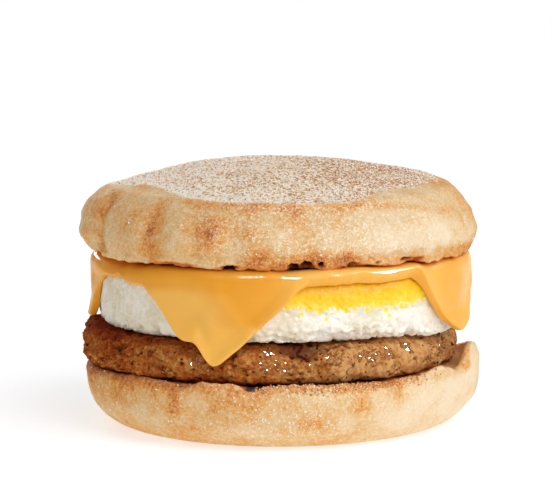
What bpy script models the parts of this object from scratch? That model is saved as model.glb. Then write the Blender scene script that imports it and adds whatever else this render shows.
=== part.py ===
"""A breakfast sandwich: a split English muffin round a sausage patty, a ring-cooked egg and a melted cheese slice.

The sandwich stands on +Z with the front towards -Y. Lengths are metres, angles degrees. An azimuth is 0 at the
front, 90 at the right (+X) and -90 at the left, as someone facing the front sees it.
"""

import math

import bmesh
import bpy
from mathutils import Vector, noise

MM = 0.001

# Heights of the faces at which the layers meet
CLEARANCE = 0.35 * MM
HEEL_CUT_Z = 15.0 * MM
PATTY_BOTTOM_Z = HEEL_CUT_Z + CLEARANCE
PATTY_TOP_Z = 24.6 * MM
EGG_BOTTOM_Z = PATTY_TOP_Z + CLEARANCE
EGG_TOP_Z = 39.8 * MM
CHEESE_THICKNESS = 1.9 * MM
CROWN_CUT_Z = EGG_TOP_Z + CHEESE_THICKNESS + 2 * CLEARANCE
CROWN_RIM_Z = 56.3 * MM
CROWN_APEX_Z = 64.3 * MM

# Half widths of the layers, and how far each has slid sideways in the stack
HEEL_RADIUS = 47.9 * MM
PATTY_RADIUS = 46.2 * MM
EGG_RADIUS = 44.3 * MM
CROWN_RADIUS = 48.3 * MM
HEEL_SHIFT_X = 0.9 * MM
PATTY_SHIFT_X = -1.9 * MM
EGG_SHIFT_X = 0.2 * MM
CROWN_SHIFT_X = 0.5 * MM

# Steps round each turned layer
MUFFIN_STEPS = 96
PATTY_STEPS = 90
EGG_STEPS = 80
CHEESE_STEPS = 96

# Outlines are not quite round: (waves round the edge, share of the radius, phase)
HEEL_LOBES = ((2, 0.006, 40), (3, 0.007, 110), (5, 0.004, 10))
PATTY_LOBES = ((2, 0.007, 95), (3, 0.006, 20), (7, 0.006, 75), (11, 0.004, 30))
EGG_LOBES = ((1, 0.010, -90), (2, 0.004, 15), (3, 0.004, 80))
CROWN_LOBES = ((2, 0.004, 85), (3, 0.006, 200), (5, 0.004, 120))

# The heel's edge curls up beside the patty at the right, steeply in front and running out slowly behind
HEEL_LIP_FROM = 63.5
HEEL_LIP_TOP = 70
HEEL_LIP_TO = 108
HEEL_LIP_RISE = 4.6 * MM

# The tip of the cheese hangs in a dent in the patty's side
PATTY_DENT_AZIMUTH = -18
PATTY_DENT_SPREAD = 13
PATTY_DENT_DEPTH = 2.1 * MM
# Where the patty's upper edge has slumped: (azimuth, spread, drop)
PATTY_SAGS = (
    (10, 9, 1.6 * MM),
    (62, 7, 0.5 * MM),
    (84, 16, 1.4 * MM),
    (125, 8, 1.0 * MM),
    (-58, 6, 0.6 * MM),
)

EGG_EDGE_ROUND = 4.3 * MM

# Soft vertical folds in the crown's side: (azimuth, spread, depth)
CROWN_FOLDS = (
    (-63.5, 4.5, 1.3 * MM),
    (-38, 6, 0.9 * MM),
    (-13, 4, 0.7 * MM),
    (8, 4, 0.6 * MM),
    (34, 5, 0.6 * MM),
    (72, 7, 0.7 * MM),
    (112, 6, 0.9 * MM),
    (150, 5, 0.8 * MM),
    (-118, 6, 0.8 * MM),
    (-160, 5, 0.7 * MM),
)
# Torn holes in the crown's lower edge, where the muffin was split: (azimuth, spread, height)
CROWN_NOOKS = (
    (-82, 15, 0.9 * MM),
    (-33, 9, 0.8 * MM),
    (6.5, 3.0, 1.9 * MM),
    (25, 5, 1.0 * MM),
    (42, 3.5, 1.3 * MM),
    (98, 4, 1.4 * MM),
    (140, 5, 1.2 * MM),
    (-101, 4, 1.5 * MM),
    (-146, 5, 1.1 * MM),
)
# The same in the heel's upper edge, and one place where it stands higher: (azimuth, spread, depth)
HEEL_NOOKS = (
    (-8, 3.2, 1.6 * MM),
    (31, 4, 0.8 * MM),
    (54, 6, -1.2 * MM),
    (61.5, 3, 0.7 * MM),
    (-31, 5, 1.0 * MM),
    (128, 5, 1.3 * MM),
    (172, 4, 1.2 * MM),
    (-90, 40, 1.0 * MM),
    (-122, 5, 1.3 * MM),
)

# The square slice bends down over the egg at its middle and hangs in a flap at each corner
CHEESE_HEM = 0.5 * MM
CHEESE_FLARE = 0.9 * MM
CHEESE_EDGE_DROP = 4.0 * MM
CHEESE_FLAPS = (
    # azimuth, depth below the edge drop, spread anticlockwise, spread clockwise
    (-18.3, 18.0 * MM, 22, 22.5),
    (66, 13.2 * MM, 19.5, 25),
    (158, 12.4 * MM, 28, 26),
    (-98, 11.0 * MM, 27, 33),
)
CHEESE_FLAP_ROUND = 0.10
# Melted bulges and nicks beside the flaps: (azimuth, spread, depth)
CHEESE_BULGES = (
    (-29, 5, 1.6 * MM),
    (-24, 2.6, -2.1 * MM),
    (-49, 8, 1.1 * MM),
    (-78, 4.5, 5.2 * MM),
    (46, 4, -1.0 * MM),
    (57, 4.5, 1.2 * MM),
    (75, 6, 1.4 * MM),
)

# The yolk ran to one side and set in a shallow pool that breaks through the egg's side there
YOLK_AZIMUTH = 28
YOLK_OFFSET = 18 * MM
YOLK_RADIUS = 36.5 * MM
YOLK_DEPTH = 8.0 * MM

CRUST_COLOUR = (0.80, 0.58, 0.33)
PATTY_COLOUR = (0.27, 0.11, 0.045)
EGG_WHITE_COLOUR = (0.86, 0.81, 0.70)
YOLK_COLOUR = (0.92, 0.60, 0.03)
CHEESE_COLOUR = (0.89, 0.45, 0.07)


def clear_scene():
    for obj in list(bpy.data.objects):
        bpy.data.objects.remove(obj, do_unlink=True)


def new_collection(name):
    collection = bpy.data.collections.new(name)
    bpy.context.scene.collection.children.link(collection)
    return collection


def food_material(name, colour, roughness):
    material = bpy.data.materials.new(name)
    material.use_nodes = True
    shader = material.node_tree.nodes["Principled BSDF"]
    shader.inputs["Base Color"].default_value = (*colour, 1.0)
    shader.inputs["Roughness"].default_value = roughness
    shader.inputs["Metallic"].default_value = 0.0
    return material


def azimuth_of(point):
    return math.degrees(math.atan2(point.x, -point.y))


def at_azimuth(azimuth, radius, height):
    angle = math.radians(azimuth)
    return Vector((radius * math.sin(angle), -radius * math.cos(angle), height))


def turn_between(azimuth, middle):
    """Degrees from middle to azimuth, the short way round."""
    return (azimuth - middle + 180) % 360 - 180


def bump_at(azimuth, middle, spread):
    """1 at middle, falling smoothly to nothing a little past spread."""
    return math.exp(-((turn_between(azimuth, middle) / spread) ** 2))


def sum_of_bumps(azimuth, features):
    return sum(size * bump_at(azimuth, middle, spread) for middle, spread, size in features)


def outline(azimuth, lobes):
    """The share of its nominal radius that a layer reaches at this azimuth."""
    return 1 + sum(share * math.cos(math.radians(waves * azimuth + phase)) for waves, share, phase in lobes)


def ease(low, high, value):
    """0 below low, 1 above high, smooth between."""
    share = min(1.0, max(0.0, (value - low) / (high - low)))
    return share * share * (3 - 2 * share)


def crags(point, grain):
    """Rough relief between -1 and 1 whose lumps are about grain across."""
    return noise.fractal(point / grain, 1.0, 2.2, 3)


def arc(centre_r, centre_z, radius, start, end, count):
    """Profile points on an arc; the angles are measured from outwards, up being 90."""
    angles = [math.radians(start + (end - start) * i / (count - 1)) for i in range(count)]
    return [(centre_r + radius * math.cos(a), centre_z + radius * math.sin(a)) for a in angles]


def turned(name, profile, steps, material, collection):
    """A solid of revolution. The profile runs from the axis outwards and down, top to bottom."""
    line = bpy.data.meshes.new(name + "_profile")
    line.from_pydata([(r, 0, z) for r, z in profile], [(i, i + 1) for i in range(len(profile) - 1)], [])
    guide = bpy.data.objects.new(name + "_guide", line)
    collection.objects.link(guide)
    screw = guide.modifiers.new("Turn", "SCREW")
    screw.steps = screw.render_steps = steps
    screw.use_merge_vertices = True
    screw.merge_threshold = 0.00001
    graph = bpy.context.evaluated_depsgraph_get()
    mesh = bpy.data.meshes.new_from_object(guide.evaluated_get(graph))
    bpy.data.objects.remove(guide, do_unlink=True)
    mesh.materials.clear()
    mesh.materials.append(material)
    mesh.shade_smooth()
    obj = bpy.data.objects.new(name, mesh)
    collection.objects.link(obj)
    return obj


def reshape(obj, place):
    """Moves each vertex to place(azimuth, radius, height)."""
    for vertex in obj.data.vertices:
        point = vertex.co.copy()
        radius = math.hypot(point.x, point.y)
        vertex.co = place(azimuth_of(point), radius, point.z)


def make_heel(material, collection):
    """The muffin's lower half: a flat foot, a round side and a torn edge that cups the patty."""
    side_round = 12.4 * MM
    foot_radius = HEEL_RADIUS - side_round
    rim_z = HEEL_CUT_Z + 1.1 * MM
    seat_radius = 44.6 * MM
    profile = [
        (0, HEEL_CUT_Z),
        (0.6 * seat_radius, HEEL_CUT_Z),
        (seat_radius, HEEL_CUT_Z + 0.1 * MM),
        (HEEL_RADIUS - 2.3 * MM, rim_z - 0.35 * MM),
        (HEEL_RADIUS - 1.4 * MM, rim_z),
        (HEEL_RADIUS - 0.5 * MM, rim_z - 0.7 * MM),
        (HEEL_RADIUS, rim_z - 2.2 * MM),
        *arc(foot_radius, side_round, side_round, -8, -90, 6),
        (0.5 * foot_radius, 0),
        (0, 0),
    ]

    def place(azimuth, radius, height):
        reach = outline(azimuth, HEEL_LOBES)
        wall = ease(0.72 * foot_radius, HEEL_RADIUS, radius)
        point = at_azimuth(azimuth, radius, height)
        torn = ease(seat_radius, HEEL_RADIUS - 2.3 * MM, radius) * ease(11 * MM, HEEL_CUT_Z + 0.3 * MM, height)
        lip = HEEL_LIP_RISE * ease(HEEL_LIP_FROM, HEEL_LIP_TOP, azimuth) * ease(HEEL_LIP_TO, HEEL_LIP_TOP, azimuth)
        lift = torn * (lip - sum_of_bumps(azimuth, HEEL_NOOKS) + 0.45 * MM * crags(point, 5 * MM))
        lift *= 1 - 0.3 * ease(HEEL_RADIUS - 1.2 * MM, HEEL_RADIUS - 0.2 * MM, radius)
        side = ease(0, 6 * MM, height) * ease(seat_radius + 1 * MM, HEEL_RADIUS - 1 * MM, radius)
        relief = side * (0.5 * MM * crags(point, 14 * MM) + 0.15 * lip)
        return at_azimuth(azimuth, radius * (1 + wall * (reach - 1)) + relief, height + lift)

    heel = turned("muffin_heel", profile, MUFFIN_STEPS, material, collection)
    reshape(heel, place)
    heel.location.x = HEEL_SHIFT_X
    return heel


def make_patty(material, collection):
    """A flat pressed patty with a coarse, lumpy side."""
    thickness = PATTY_TOP_Z - PATTY_BOTTOM_Z
    middle_z = (PATTY_TOP_Z + PATTY_BOTTOM_Z) / 2
    edge_round = 3.2 * MM
    profile = [
        (0, PATTY_TOP_Z),
        (0.6 * PATTY_RADIUS, PATTY_TOP_Z),
        (PATTY_RADIUS - 1.6 * edge_round, PATTY_TOP_Z),
        (PATTY_RADIUS - 0.75 * edge_round, PATTY_TOP_Z - 0.10 * thickness),
        (PATTY_RADIUS - 0.22 * edge_round, PATTY_TOP_Z - 0.26 * thickness),
        (PATTY_RADIUS, middle_z),
        (PATTY_RADIUS - 0.18 * edge_round, PATTY_BOTTOM_Z + 0.26 * thickness),
        (PATTY_RADIUS - 0.65 * edge_round, PATTY_BOTTOM_Z + 0.10 * thickness),
        (PATTY_RADIUS - 1.5 * edge_round, PATTY_BOTTOM_Z),
        (0, PATTY_BOTTOM_Z),
    ]

    def place(azimuth, radius, height):
        wall = ease(0.7 * PATTY_RADIUS, PATTY_RADIUS - edge_round, radius)
        dent = PATTY_DENT_DEPTH * bump_at(azimuth, PATTY_DENT_AZIMUTH, PATTY_DENT_SPREAD)
        point = at_azimuth(azimuth, radius, height)
        lump = 0.9 * MM * min(0.25, crags(point, 6 * MM))
        side = ease(PATTY_RADIUS - 1.55 * edge_round, PATTY_RADIUS - 0.8 * edge_round, radius)
        sag = -side * 0.5 * MM * abs(crags(point, 4 * MM)) * math.copysign(1, height - middle_z)
        if height > middle_z:
            sag -= side * sum_of_bumps(azimuth, PATTY_SAGS)
        reach = radius * (1 + wall * (outline(azimuth, PATTY_LOBES) - 1))
        return at_azimuth(azimuth, reach + wall * (lump - dent), height + sag)

    patty = turned("sausage_patty", profile, PATTY_STEPS, material, collection)
    reshape(patty, place)
    patty.location.x = PATTY_SHIFT_X
    return patty


def make_egg(material, collection):
    """A whole egg set in a ring: a flat puck with a rounded top edge and a ragged lower edge."""
    hem_z = EGG_BOTTOM_Z + 1.2 * MM
    profile = [
        (0, EGG_TOP_Z),
        (0.55 * EGG_RADIUS, EGG_TOP_Z),
        *arc(EGG_RADIUS - EGG_EDGE_ROUND, EGG_TOP_Z - EGG_EDGE_ROUND, EGG_EDGE_ROUND, 90, 0, 5),
        (EGG_RADIUS, (hem_z + EGG_TOP_Z - EGG_EDGE_ROUND) / 2),
        (EGG_RADIUS, hem_z + 1.2 * MM),
        (EGG_RADIUS - 0.6 * MM, hem_z),
        (EGG_RADIUS - 3.0 * MM, EGG_BOTTOM_Z),
        (0, EGG_BOTTOM_Z),
    ]

    def place(azimuth, radius, height):
        wall = ease(0.6 * EGG_RADIUS, EGG_RADIUS - EGG_EDGE_ROUND, radius)
        point = at_azimuth(azimuth, radius, height)
        fringe = ease(hem_z + 4 * MM, hem_z, height) * ease(EGG_RADIUS - 3 * MM, EGG_RADIUS - 1 * MM, radius)
        ragged = 0.5 * MM * (crags(point, 4 * MM) - 0.6)
        reach = radius * (1 + wall * (outline(azimuth, EGG_LOBES) - 1))
        return at_azimuth(azimuth, reach + fringe * ragged, height + 0.8 * fringe * abs(ragged))

    egg = turned("egg_white", profile, EGG_STEPS, material, collection)
    reshape(egg, place)
    egg.location.x = EGG_SHIFT_X
    return egg


def yolk_pool(name, grow, cutters, material):
    """The space the yolk fills, open through the egg's top and its side, made larger all round by grow."""
    radius = YOLK_RADIUS + grow
    floor_z = EGG_TOP_Z - YOLK_DEPTH - grow
    over_z = EGG_TOP_Z + 2 * MM
    profile = [
        (0, over_z),
        (radius, over_z),
        (radius, EGG_TOP_Z - 0.10 * YOLK_DEPTH),
        (radius - 1.2 * MM, EGG_TOP_Z - 0.45 * YOLK_DEPTH - grow),
        (radius - 4.5 * MM, EGG_TOP_Z - 0.80 * YOLK_DEPTH - grow),
        (radius - 10 * MM, floor_z),
        (0, floor_z),
    ]
    pool = turned(name, profile, 48, material, cutters)
    pool.location = at_azimuth(YOLK_AZIMUTH, YOLK_OFFSET, 0) + Vector((EGG_SHIFT_X, 0, 0))
    pool.hide_render = True
    pool.display_type = "WIRE"
    return pool


def combine(obj, operation, other):
    """One Boolean, applied to obj's mesh."""
    step = obj.modifiers.new(operation.title(), "BOOLEAN")
    step.operation = operation
    step.object = other
    step.solver = "EXACT"
    bpy.context.view_layer.update()
    graph = bpy.context.evaluated_depsgraph_get()
    mesh = bpy.data.meshes.new_from_object(obj.evaluated_get(graph))
    obj.modifiers.clear()
    obj.data = mesh


def make_yolk(egg, material, collection, cutters):
    """Divides the egg into the white and the yolk that sits in it, flush with its top and side."""
    yolk = egg.copy()
    yolk.data = egg.data.copy()
    yolk.name = "egg_yolk"
    collection.objects.link(yolk)
    combine(yolk, "INTERSECT", yolk_pool("yolk_space", 0, cutters, material))
    combine(egg, "DIFFERENCE", yolk_pool("yolk_bed", CLEARANCE, cutters, material))
    yolk.data.materials.clear()
    yolk.data.materials.append(material)
    return yolk


def tent(offset, spread_back, spread_on):
    """A flap's outline: 1 at its tip, straight sides down to 0, and a rounded point."""
    share = abs(offset) / (spread_back if offset < 0 else spread_on)
    fall = math.hypot(share, CHEESE_FLAP_ROUND) - CHEESE_FLAP_ROUND
    height = 1 - fall
    return 0.5 * (height + math.hypot(height, CHEESE_FLAP_ROUND))


def cheese_drop(azimuth):
    """How far the cheese hangs below its own upper face."""
    flaps = sum(
        depth * tent(turn_between(azimuth, tip), back, on) for tip, depth, back, on in CHEESE_FLAPS
    )
    return CHEESE_EDGE_DROP + flaps + sum_of_bumps(azimuth, CHEESE_BULGES)


def make_cheese(material, collection):
    """A slice melted over the egg: flat on top, bent round its edge and hanging down its side."""
    bend = EGG_EDGE_ROUND + CLEARANCE
    bend_length = bend * math.pi / 2
    under_z = EGG_TOP_Z + CLEARANCE
    bend_from = 2
    bend_steps = 4
    hang_steps = 3
    hem = bend_from + bend_steps + hang_steps
    # Steps from the middle of the slice to its hem, and the share of the thickness, 1 being the outer face
    outer_face = [(step, 1) for step in range(hem + 1)]
    rounded_hem = [(hem + 0.7, 0.85), (hem + 1, 0.5), (hem + 0.7, 0.15)]
    inner_face = [(step, 0) for step in range(hem, -1, -1)]

    def place(azimuth, step, layer):
        flat_length = EGG_RADIUS * outline(azimuth, EGG_LOBES) + CLEARANCE - bend
        fall = cheese_drop(azimuth) - CHEESE_THICKNESS - CHEESE_HEM
        length = bend * math.acos(max(0.0, 1 - fall / bend)) + max(0.0, fall - bend)
        bent_length = min(bend_length, length * bend_steps / (bend_steps + hang_steps))
        bend_share = min(1.0, max(0.0, (step - bend_from) / bend_steps))
        hang_share = min(1.0, max(0.0, (step - bend_from - bend_steps) / hang_steps))
        travel = bent_length * bend_share + (length - bent_length) * hang_share
        angle = min(travel / bend, math.pi / 2)
        down = max(0.0, travel - bend_length) + CHEESE_HEM * max(0.0, step - hem)
        outwards = flat_length * min(1.0, step / bend_from) + bend * math.sin(angle) + down * math.cos(angle)
        height = under_z - bend * (1 - math.cos(angle)) - down * math.sin(angle)
        outwards += CHEESE_THICKNESS * layer * math.sin(angle)
        height += CHEESE_THICKNESS * layer * math.cos(angle)
        flare = CHEESE_FLARE * ease(EGG_BOTTOM_Z + 5 * MM, PATTY_TOP_Z, height)
        return at_azimuth(azimuth, outwards + flare, height)

    cheese = turned("cheese_slice", outer_face + rounded_hem + inner_face, CHEESE_STEPS, material, collection)
    reshape(cheese, place)
    cheese.location.x = EGG_SHIFT_X
    return cheese


def make_crown(material, collection):
    """The muffin's upper half: a domed griddled top, a bulging pale side and a torn lower edge."""
    side_z = 47.6 * MM
    profile = [
        (0, CROWN_APEX_Z),
        (12 * MM, CROWN_APEX_Z - 0.5 * MM),
        (23 * MM, CROWN_APEX_Z - 1.9 * MM),
        (32 * MM, CROWN_APEX_Z - 4.2 * MM),
        (38 * MM, CROWN_APEX_Z - 6.3 * MM),
        (41.8 * MM, CROWN_RIM_Z),
        (44.6 * MM, CROWN_RIM_Z - 2.2 * MM),
        (46.9 * MM, CROWN_RIM_Z - 5.0 * MM),
        (CROWN_RADIUS, side_z),
        (CROWN_RADIUS - 0.3 * MM, side_z - 2.6 * MM),
        (CROWN_RADIUS - 1.3 * MM, CROWN_CUT_Z + 0.8 * MM),
        (CROWN_RADIUS - 3.0 * MM, CROWN_CUT_Z + 0.2 * MM),
        (CROWN_RADIUS - 8.0 * MM, CROWN_CUT_Z),
        (0, CROWN_CUT_Z),
    ]

    def place(azimuth, radius, height):
        point = at_azimuth(azimuth, radius, height)
        wall = ease(0.75 * CROWN_RADIUS, 0.97 * CROWN_RADIUS, radius)
        side = wall * ease(CROWN_CUT_Z + 0.5 * MM, CROWN_CUT_Z + 3 * MM, height)
        side *= ease(CROWN_RIM_Z + 1.5 * MM, CROWN_RIM_Z - 3 * MM, height)
        torn = ease(CROWN_RADIUS - 5 * MM, CROWN_RADIUS - 2.5 * MM, radius)
        torn *= ease(CROWN_CUT_Z + 5 * MM, CROWN_CUT_Z + 1 * MM, height)
        full = bump_at(azimuth, 80, 55) * ease(22 * MM, 38 * MM, radius) * ease(side_z - 2 * MM, CROWN_RIM_Z, height)
        shoulder = 1.3 * MM * full
        left = 1.5 * MM * bump_at(azimuth, -85, 40) * ease(38 * MM, 42 * MM, radius) * ease(side_z, CROWN_RIM_Z - 2 * MM, height)
        dome = 0.5 * MM * crags(point, 30 * MM) * ease(CROWN_RIM_Z - 6 * MM, CROWN_RIM_Z + 2 * MM, height)
        lift = torn * (sum_of_bumps(azimuth, CROWN_NOOKS) + 0.4 * MM * abs(crags(point, 5 * MM)))
        relief = side * (0.7 * MM * crags(point, 16 * MM) - sum_of_bumps(azimuth, CROWN_FOLDS))
        reach = radius * (1 + wall * (outline(azimuth, CROWN_LOBES) - 1)) + relief + 0.3 * shoulder + left
        return at_azimuth(azimuth, reach, height + lift + dome + shoulder)

    crown = turned("muffin_crown", profile, MUFFIN_STEPS, material, collection)
    reshape(crown, place)
    crown.location.x = CROWN_SHIFT_X
    return crown


def outermost(objects, axis):
    """The lowest and highest coordinate that the objects reach along an axis."""
    graph = bpy.context.evaluated_depsgraph_get()
    reached = []
    for obj in objects:
        shape = obj.evaluated_get(graph)
        reached += [(shape.matrix_world @ Vector(corner))[axis] for corner in shape.bound_box]
    return min(reached), max(reached)


def centre_over_origin(objects):
    """Puts the middle of the whole sandwich over the origin, with nothing raised."""
    bpy.context.view_layer.update()
    for axis in (0, 1):
        low, high = outermost(objects, axis)
        for obj in objects:
            obj.location[axis] -= (low + high) / 2


def main():
    clear_scene()
    sandwich = new_collection("breakfast_sandwich")
    cutters = new_collection("cutters")
    crust = food_material("toasted_muffin", CRUST_COLOUR, 0.85)
    meat = food_material("pork_sausage", PATTY_COLOUR, 0.45)
    white = food_material("cooked_egg_white", EGG_WHITE_COLOUR, 0.55)
    yellow = food_material("cooked_egg_yolk", YOLK_COLOUR, 0.5)
    melted = food_material("melted_cheese", CHEESE_COLOUR, 0.3)
    heel = make_heel(crust, sandwich)
    patty = make_patty(meat, sandwich)
    egg = make_egg(white, sandwich)
    yolk = make_yolk(egg, yellow, sandwich, cutters)
    cheese = make_cheese(melted, sandwich)
    crown = make_crown(crust, sandwich)
    centre_over_origin([heel, patty, egg, yolk, cheese, crown])


main()
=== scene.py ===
"""The looks of a breakfast sandwich: a floury English muffin, sausage, a ring-cooked egg and melted cheese.

Every piece is turned about +Z from a profile and then shaped by azimuth, as the food in a stack is. An
azimuth is 0 at the front, 90 at the right (+X) and -90 at the left. Lengths are in metres and azimuths in
degrees.
"""

import math

import bmesh
import bpy
import numpy as np
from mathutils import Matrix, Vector, noise


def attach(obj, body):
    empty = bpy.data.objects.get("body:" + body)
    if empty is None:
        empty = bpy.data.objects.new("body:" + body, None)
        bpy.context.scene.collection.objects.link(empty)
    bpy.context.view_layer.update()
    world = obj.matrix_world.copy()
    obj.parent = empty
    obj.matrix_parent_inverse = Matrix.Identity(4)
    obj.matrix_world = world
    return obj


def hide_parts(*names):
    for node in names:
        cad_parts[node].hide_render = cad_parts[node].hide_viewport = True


bl_info = {
    "name": "Breakfast Sandwich",
    "version": (1, 0, 0),
    "blender": (4, 5, 0),
    "location": "View3D > Sidebar > Sandwich",
    "description": "Builds the layers of a breakfast sandwich and the studio they are shown in",
    "category": "Object",
}

MM = 0.001
BODY = "root"

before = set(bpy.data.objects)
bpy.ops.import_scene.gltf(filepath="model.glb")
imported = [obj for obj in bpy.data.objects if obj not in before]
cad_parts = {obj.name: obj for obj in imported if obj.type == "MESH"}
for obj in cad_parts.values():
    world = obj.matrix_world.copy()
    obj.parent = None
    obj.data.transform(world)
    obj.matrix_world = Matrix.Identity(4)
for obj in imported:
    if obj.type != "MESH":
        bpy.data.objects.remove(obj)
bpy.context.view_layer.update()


# Where each layer's own axis stands, as each has slid a little in the stack
AXIS_Y = -0.358 * MM
HEEL_AXIS = (0.32 * MM, AXIS_Y)
PATTY_AXIS = (-2.48 * MM, AXIS_Y)
EGG_AXIS = (-0.38 * MM, AXIS_Y)
CROWN_AXIS = (-0.08 * MM, AXIS_Y)

# Heights at which the layers meet
CLEARANCE = 0.12 * MM
HEEL_CUT_Z = 15.0 * MM
PATTY_BOTTOM_Z = 15.35 * MM
PATTY_TOP_Z = 24.6 * MM
EGG_BOTTOM_Z = 24.95 * MM
EGG_TOP_Z = 39.8 * MM
CHEESE_UNDER_Z = EGG_TOP_Z + CLEARANCE
CHEESE_THICKNESS = 2.05 * MM
CROWN_CUT_Z = 42.4 * MM
CROWN_RIM_Z = 56.3 * MM
CROWN_APEX_Z = 64.3 * MM

HEEL_RADIUS = 47.9 * MM
PATTY_RADIUS = 46.2 * MM
EGG_RADIUS = 44.3 * MM
CROWN_RADIUS = 48.3 * MM
EGG_EDGE_ROUND = 4.3 * MM

# Points round each form: one every third to half of a millimetre, and fewer round what cuts out the yolk
CROWN_COLUMNS = 640
HEEL_COLUMNS = 600
PATTY_COLUMNS = 800
EGG_COLUMNS = 800
POOL_COLUMNS = 300
CHEESE_COLUMNS = 640

# The layers' outlines: (waves round the edge, share of the radius, phase)
HEEL_LOBES = ((2, 0.006, 40), (3, 0.007, 110), (5, 0.004, 10))
PATTY_LOBES = ((2, 0.007, 95), (3, 0.006, 20), (7, 0.006, 75), (11, 0.004, 30))
EGG_LOBES = ((1, 0.010, -90), (2, 0.004, 15), (3, 0.004, 80))
CROWN_LOBES = ((2, 0.004, 85), (3, 0.006, 200), (5, 0.004, 120))

# The heel's edge curls up at the right: where it starts, is highest and ends, and by how much
HEEL_LIP = (67, 75, 116, 4.1 * MM)
# The patty's side is pressed in a little left of the front: (azimuth, spread, depth)
PATTY_DENT = (-18, 13, 2.1 * MM)
# Where the egg's lower edge is held up by the meat or has sagged over it: (azimuth, spread, rise)
EGG_LIFTS = (
    (22, 10, 1.3 * MM),
    (60, 12, -1.3 * MM),
    (84, 14, -1.8 * MM),
    (-40, 8, 0.4 * MM),
    (130, 20, -0.8 * MM),
)
# Where the patty's upper edge has slumped: (azimuth, spread, drop)
PATTY_SAGS = (
    (10, 9, 1.6 * MM),
    (62, 7, 0.5 * MM),
    (84, 16, 0.5 * MM),
    (125, 8, 1.0 * MM),
    (-58, 6, 0.6 * MM),
)

# Vertical folds in the crown's side: (azimuth, spread, depth)
CROWN_FOLDS = (
    (-63.5, 4.5, 1.3 * MM),
    (-38, 6, 0.9 * MM),
    (-13, 4, 0.7 * MM),
    (8, 4, 0.6 * MM),
    (34, 5, 0.6 * MM),
    (72, 7, 0.7 * MM),
    (112, 6, 0.9 * MM),
    (150, 5, 0.8 * MM),
    (-118, 6, 0.8 * MM),
    (-160, 5, 0.7 * MM),
)
# Sharper creases than the solid has, in the same terms
CROWN_CREASES = (
    (-63.5, 2.0, 0.6 * MM),
    (-40.5, 2.0, 0.35 * MM),
    (-24, 2.5, 0.25 * MM),
    (55, 2.5, 0.3 * MM),
)
# Cracks: (azimuth, degrees of lean for each mm, lowest and highest mm, width in degrees, depth in mm)
CROWN_CRACKS = (
    (-10.5, -0.25, 49.0, 54.0, 0.35, 0.35),
    (-11.0, 0.5, 46.0, 47.5, 0.35, 0.25),
    (5.5, 0.45, 46.5, 51.5, 0.4, 0.4),
    (23, 0.6, 46.0, 49.5, 0.4, 0.3),
    (64, -0.6, 48.0, 52.0, 0.5, 0.35),
    (117, 0.5, 46.0, 51.0, 0.5, 0.4),
    (-140, -0.4, 47.0, 52.0, 0.5, 0.4),
    (172, 0.3, 47.0, 51.0, 0.5, 0.35),
)
# Holes in the torn edge: (azimuth, half width in degrees, height and half height in mm, strength)
CROWN_HOLES = (
    (4.4, 1.7, 42.6, 1.0, 1.0),
    (8.0, 1.5, 43.0, 1.5, 1.0),
    (11.9, 0.7, 43.1, 0.7, 1.0),
    (21.5, 1.8, 43.0, 0.6, 0.85),
    (29.0, 0.8, 43.3, 0.4, 0.7),
    (38.5, 2.4, 43.6, 0.6, 0.6),
    (44.0, 1.2, 43.2, 0.5, 0.5),
    (-14.0, 3.0, 42.6, 0.5, 0.6),
    (-31.0, 7.0, 42.7, 0.6, 0.42),
    (98, 2.0, 43.4, 0.8, 0.9),
    (118, 1.2, 43.6, 0.6, 0.8),
    (140, 2.6, 43.4, 0.7, 0.9),
    (-101, 2.2, 43.4, 0.8, 0.9),
    (-128, 1.4, 43.5, 0.6, 0.8),
    (-146, 2.4, 43.5, 0.7, 0.8),
    (172, 2.2, 43.4, 0.7, 0.8),
)
# Where the crown's lower edge is torn away upwards: (azimuth, spread, rise)
CROWN_NOOKS = (
    (-33, 9, 0.35 * MM),
    (6.5, 3.0, 0.9 * MM),
    (25, 5, 1.0 * MM),
    (42, 3.5, 1.3 * MM),
    (98, 4, 1.4 * MM),
    (140, 5, 1.2 * MM),
    (-101, 4, 1.5 * MM),
    (-146, 5, 1.1 * MM),
)
# Where the heel's rim is torn away downwards: (azimuth, spread, drop)
HEEL_NOOKS = (
    (-8, 3.2, 1.6 * MM),
    (31, 4, 0.8 * MM),
    (13, 12, 0.5 * MM),
    (54, 6, -1.2 * MM),
    (61.5, 3, 0.7 * MM),
    (-31, 5, 1.0 * MM),
    (128, 5, 1.3 * MM),
    (172, 4, 1.2 * MM),
    (-122, 5, 1.3 * MM),
    (-90, 40, 1.0 * MM),
)
# How strongly the heel's torn nooks are painted inside: toasted orange round their edge, and painted shade
# deeper in: (azimuth, spread, strength)
HEEL_NOOK_TOAST_AND_SHADE = (
    (-8, 2.4, 1),
    (31, 2, 0.4),
    (128, 4, 0.8),
    (172, 4, 0.7),
    (-122, 5, 0.8),
)

# The rounding of the hem, how far a low corner stands out over the patty, and how far the whole edge hangs
CHEESE_HEM = 0.5 * MM
CHEESE_FLARE = 0.9 * MM
CHEESE_EDGE_DROP = 4.0 * MM
# How blunt each corner is, as a share of its spread
CHEESE_FLAP_ROUND = 0.10
# The corners of the slice: azimuth, depth below the edge drop, spread anticlockwise, spread clockwise
CHEESE_FLAPS = (
    (-18.3, 18.0 * MM, 22, 22.5),
    (66, 13.2 * MM, 19.5, 25),
    (158, 12.4 * MM, 28, 26),
    (-98, 11.0 * MM, 27, 30),
)
# Where the hem hangs lower or higher between the corners: (azimuth, spread, drop)
CHEESE_BULGES = (
    (-29, 5, 0.8 * MM),
    (-23.5, 3.2, -2.4 * MM),
    (-49, 8, 1.1 * MM),
    (-82, 4.5, 5.2 * MM),
    (57, 4.5, 1.2 * MM),
    (46, 4, -1.0 * MM),
    (75, 6, 1.4 * MM),
)

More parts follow.
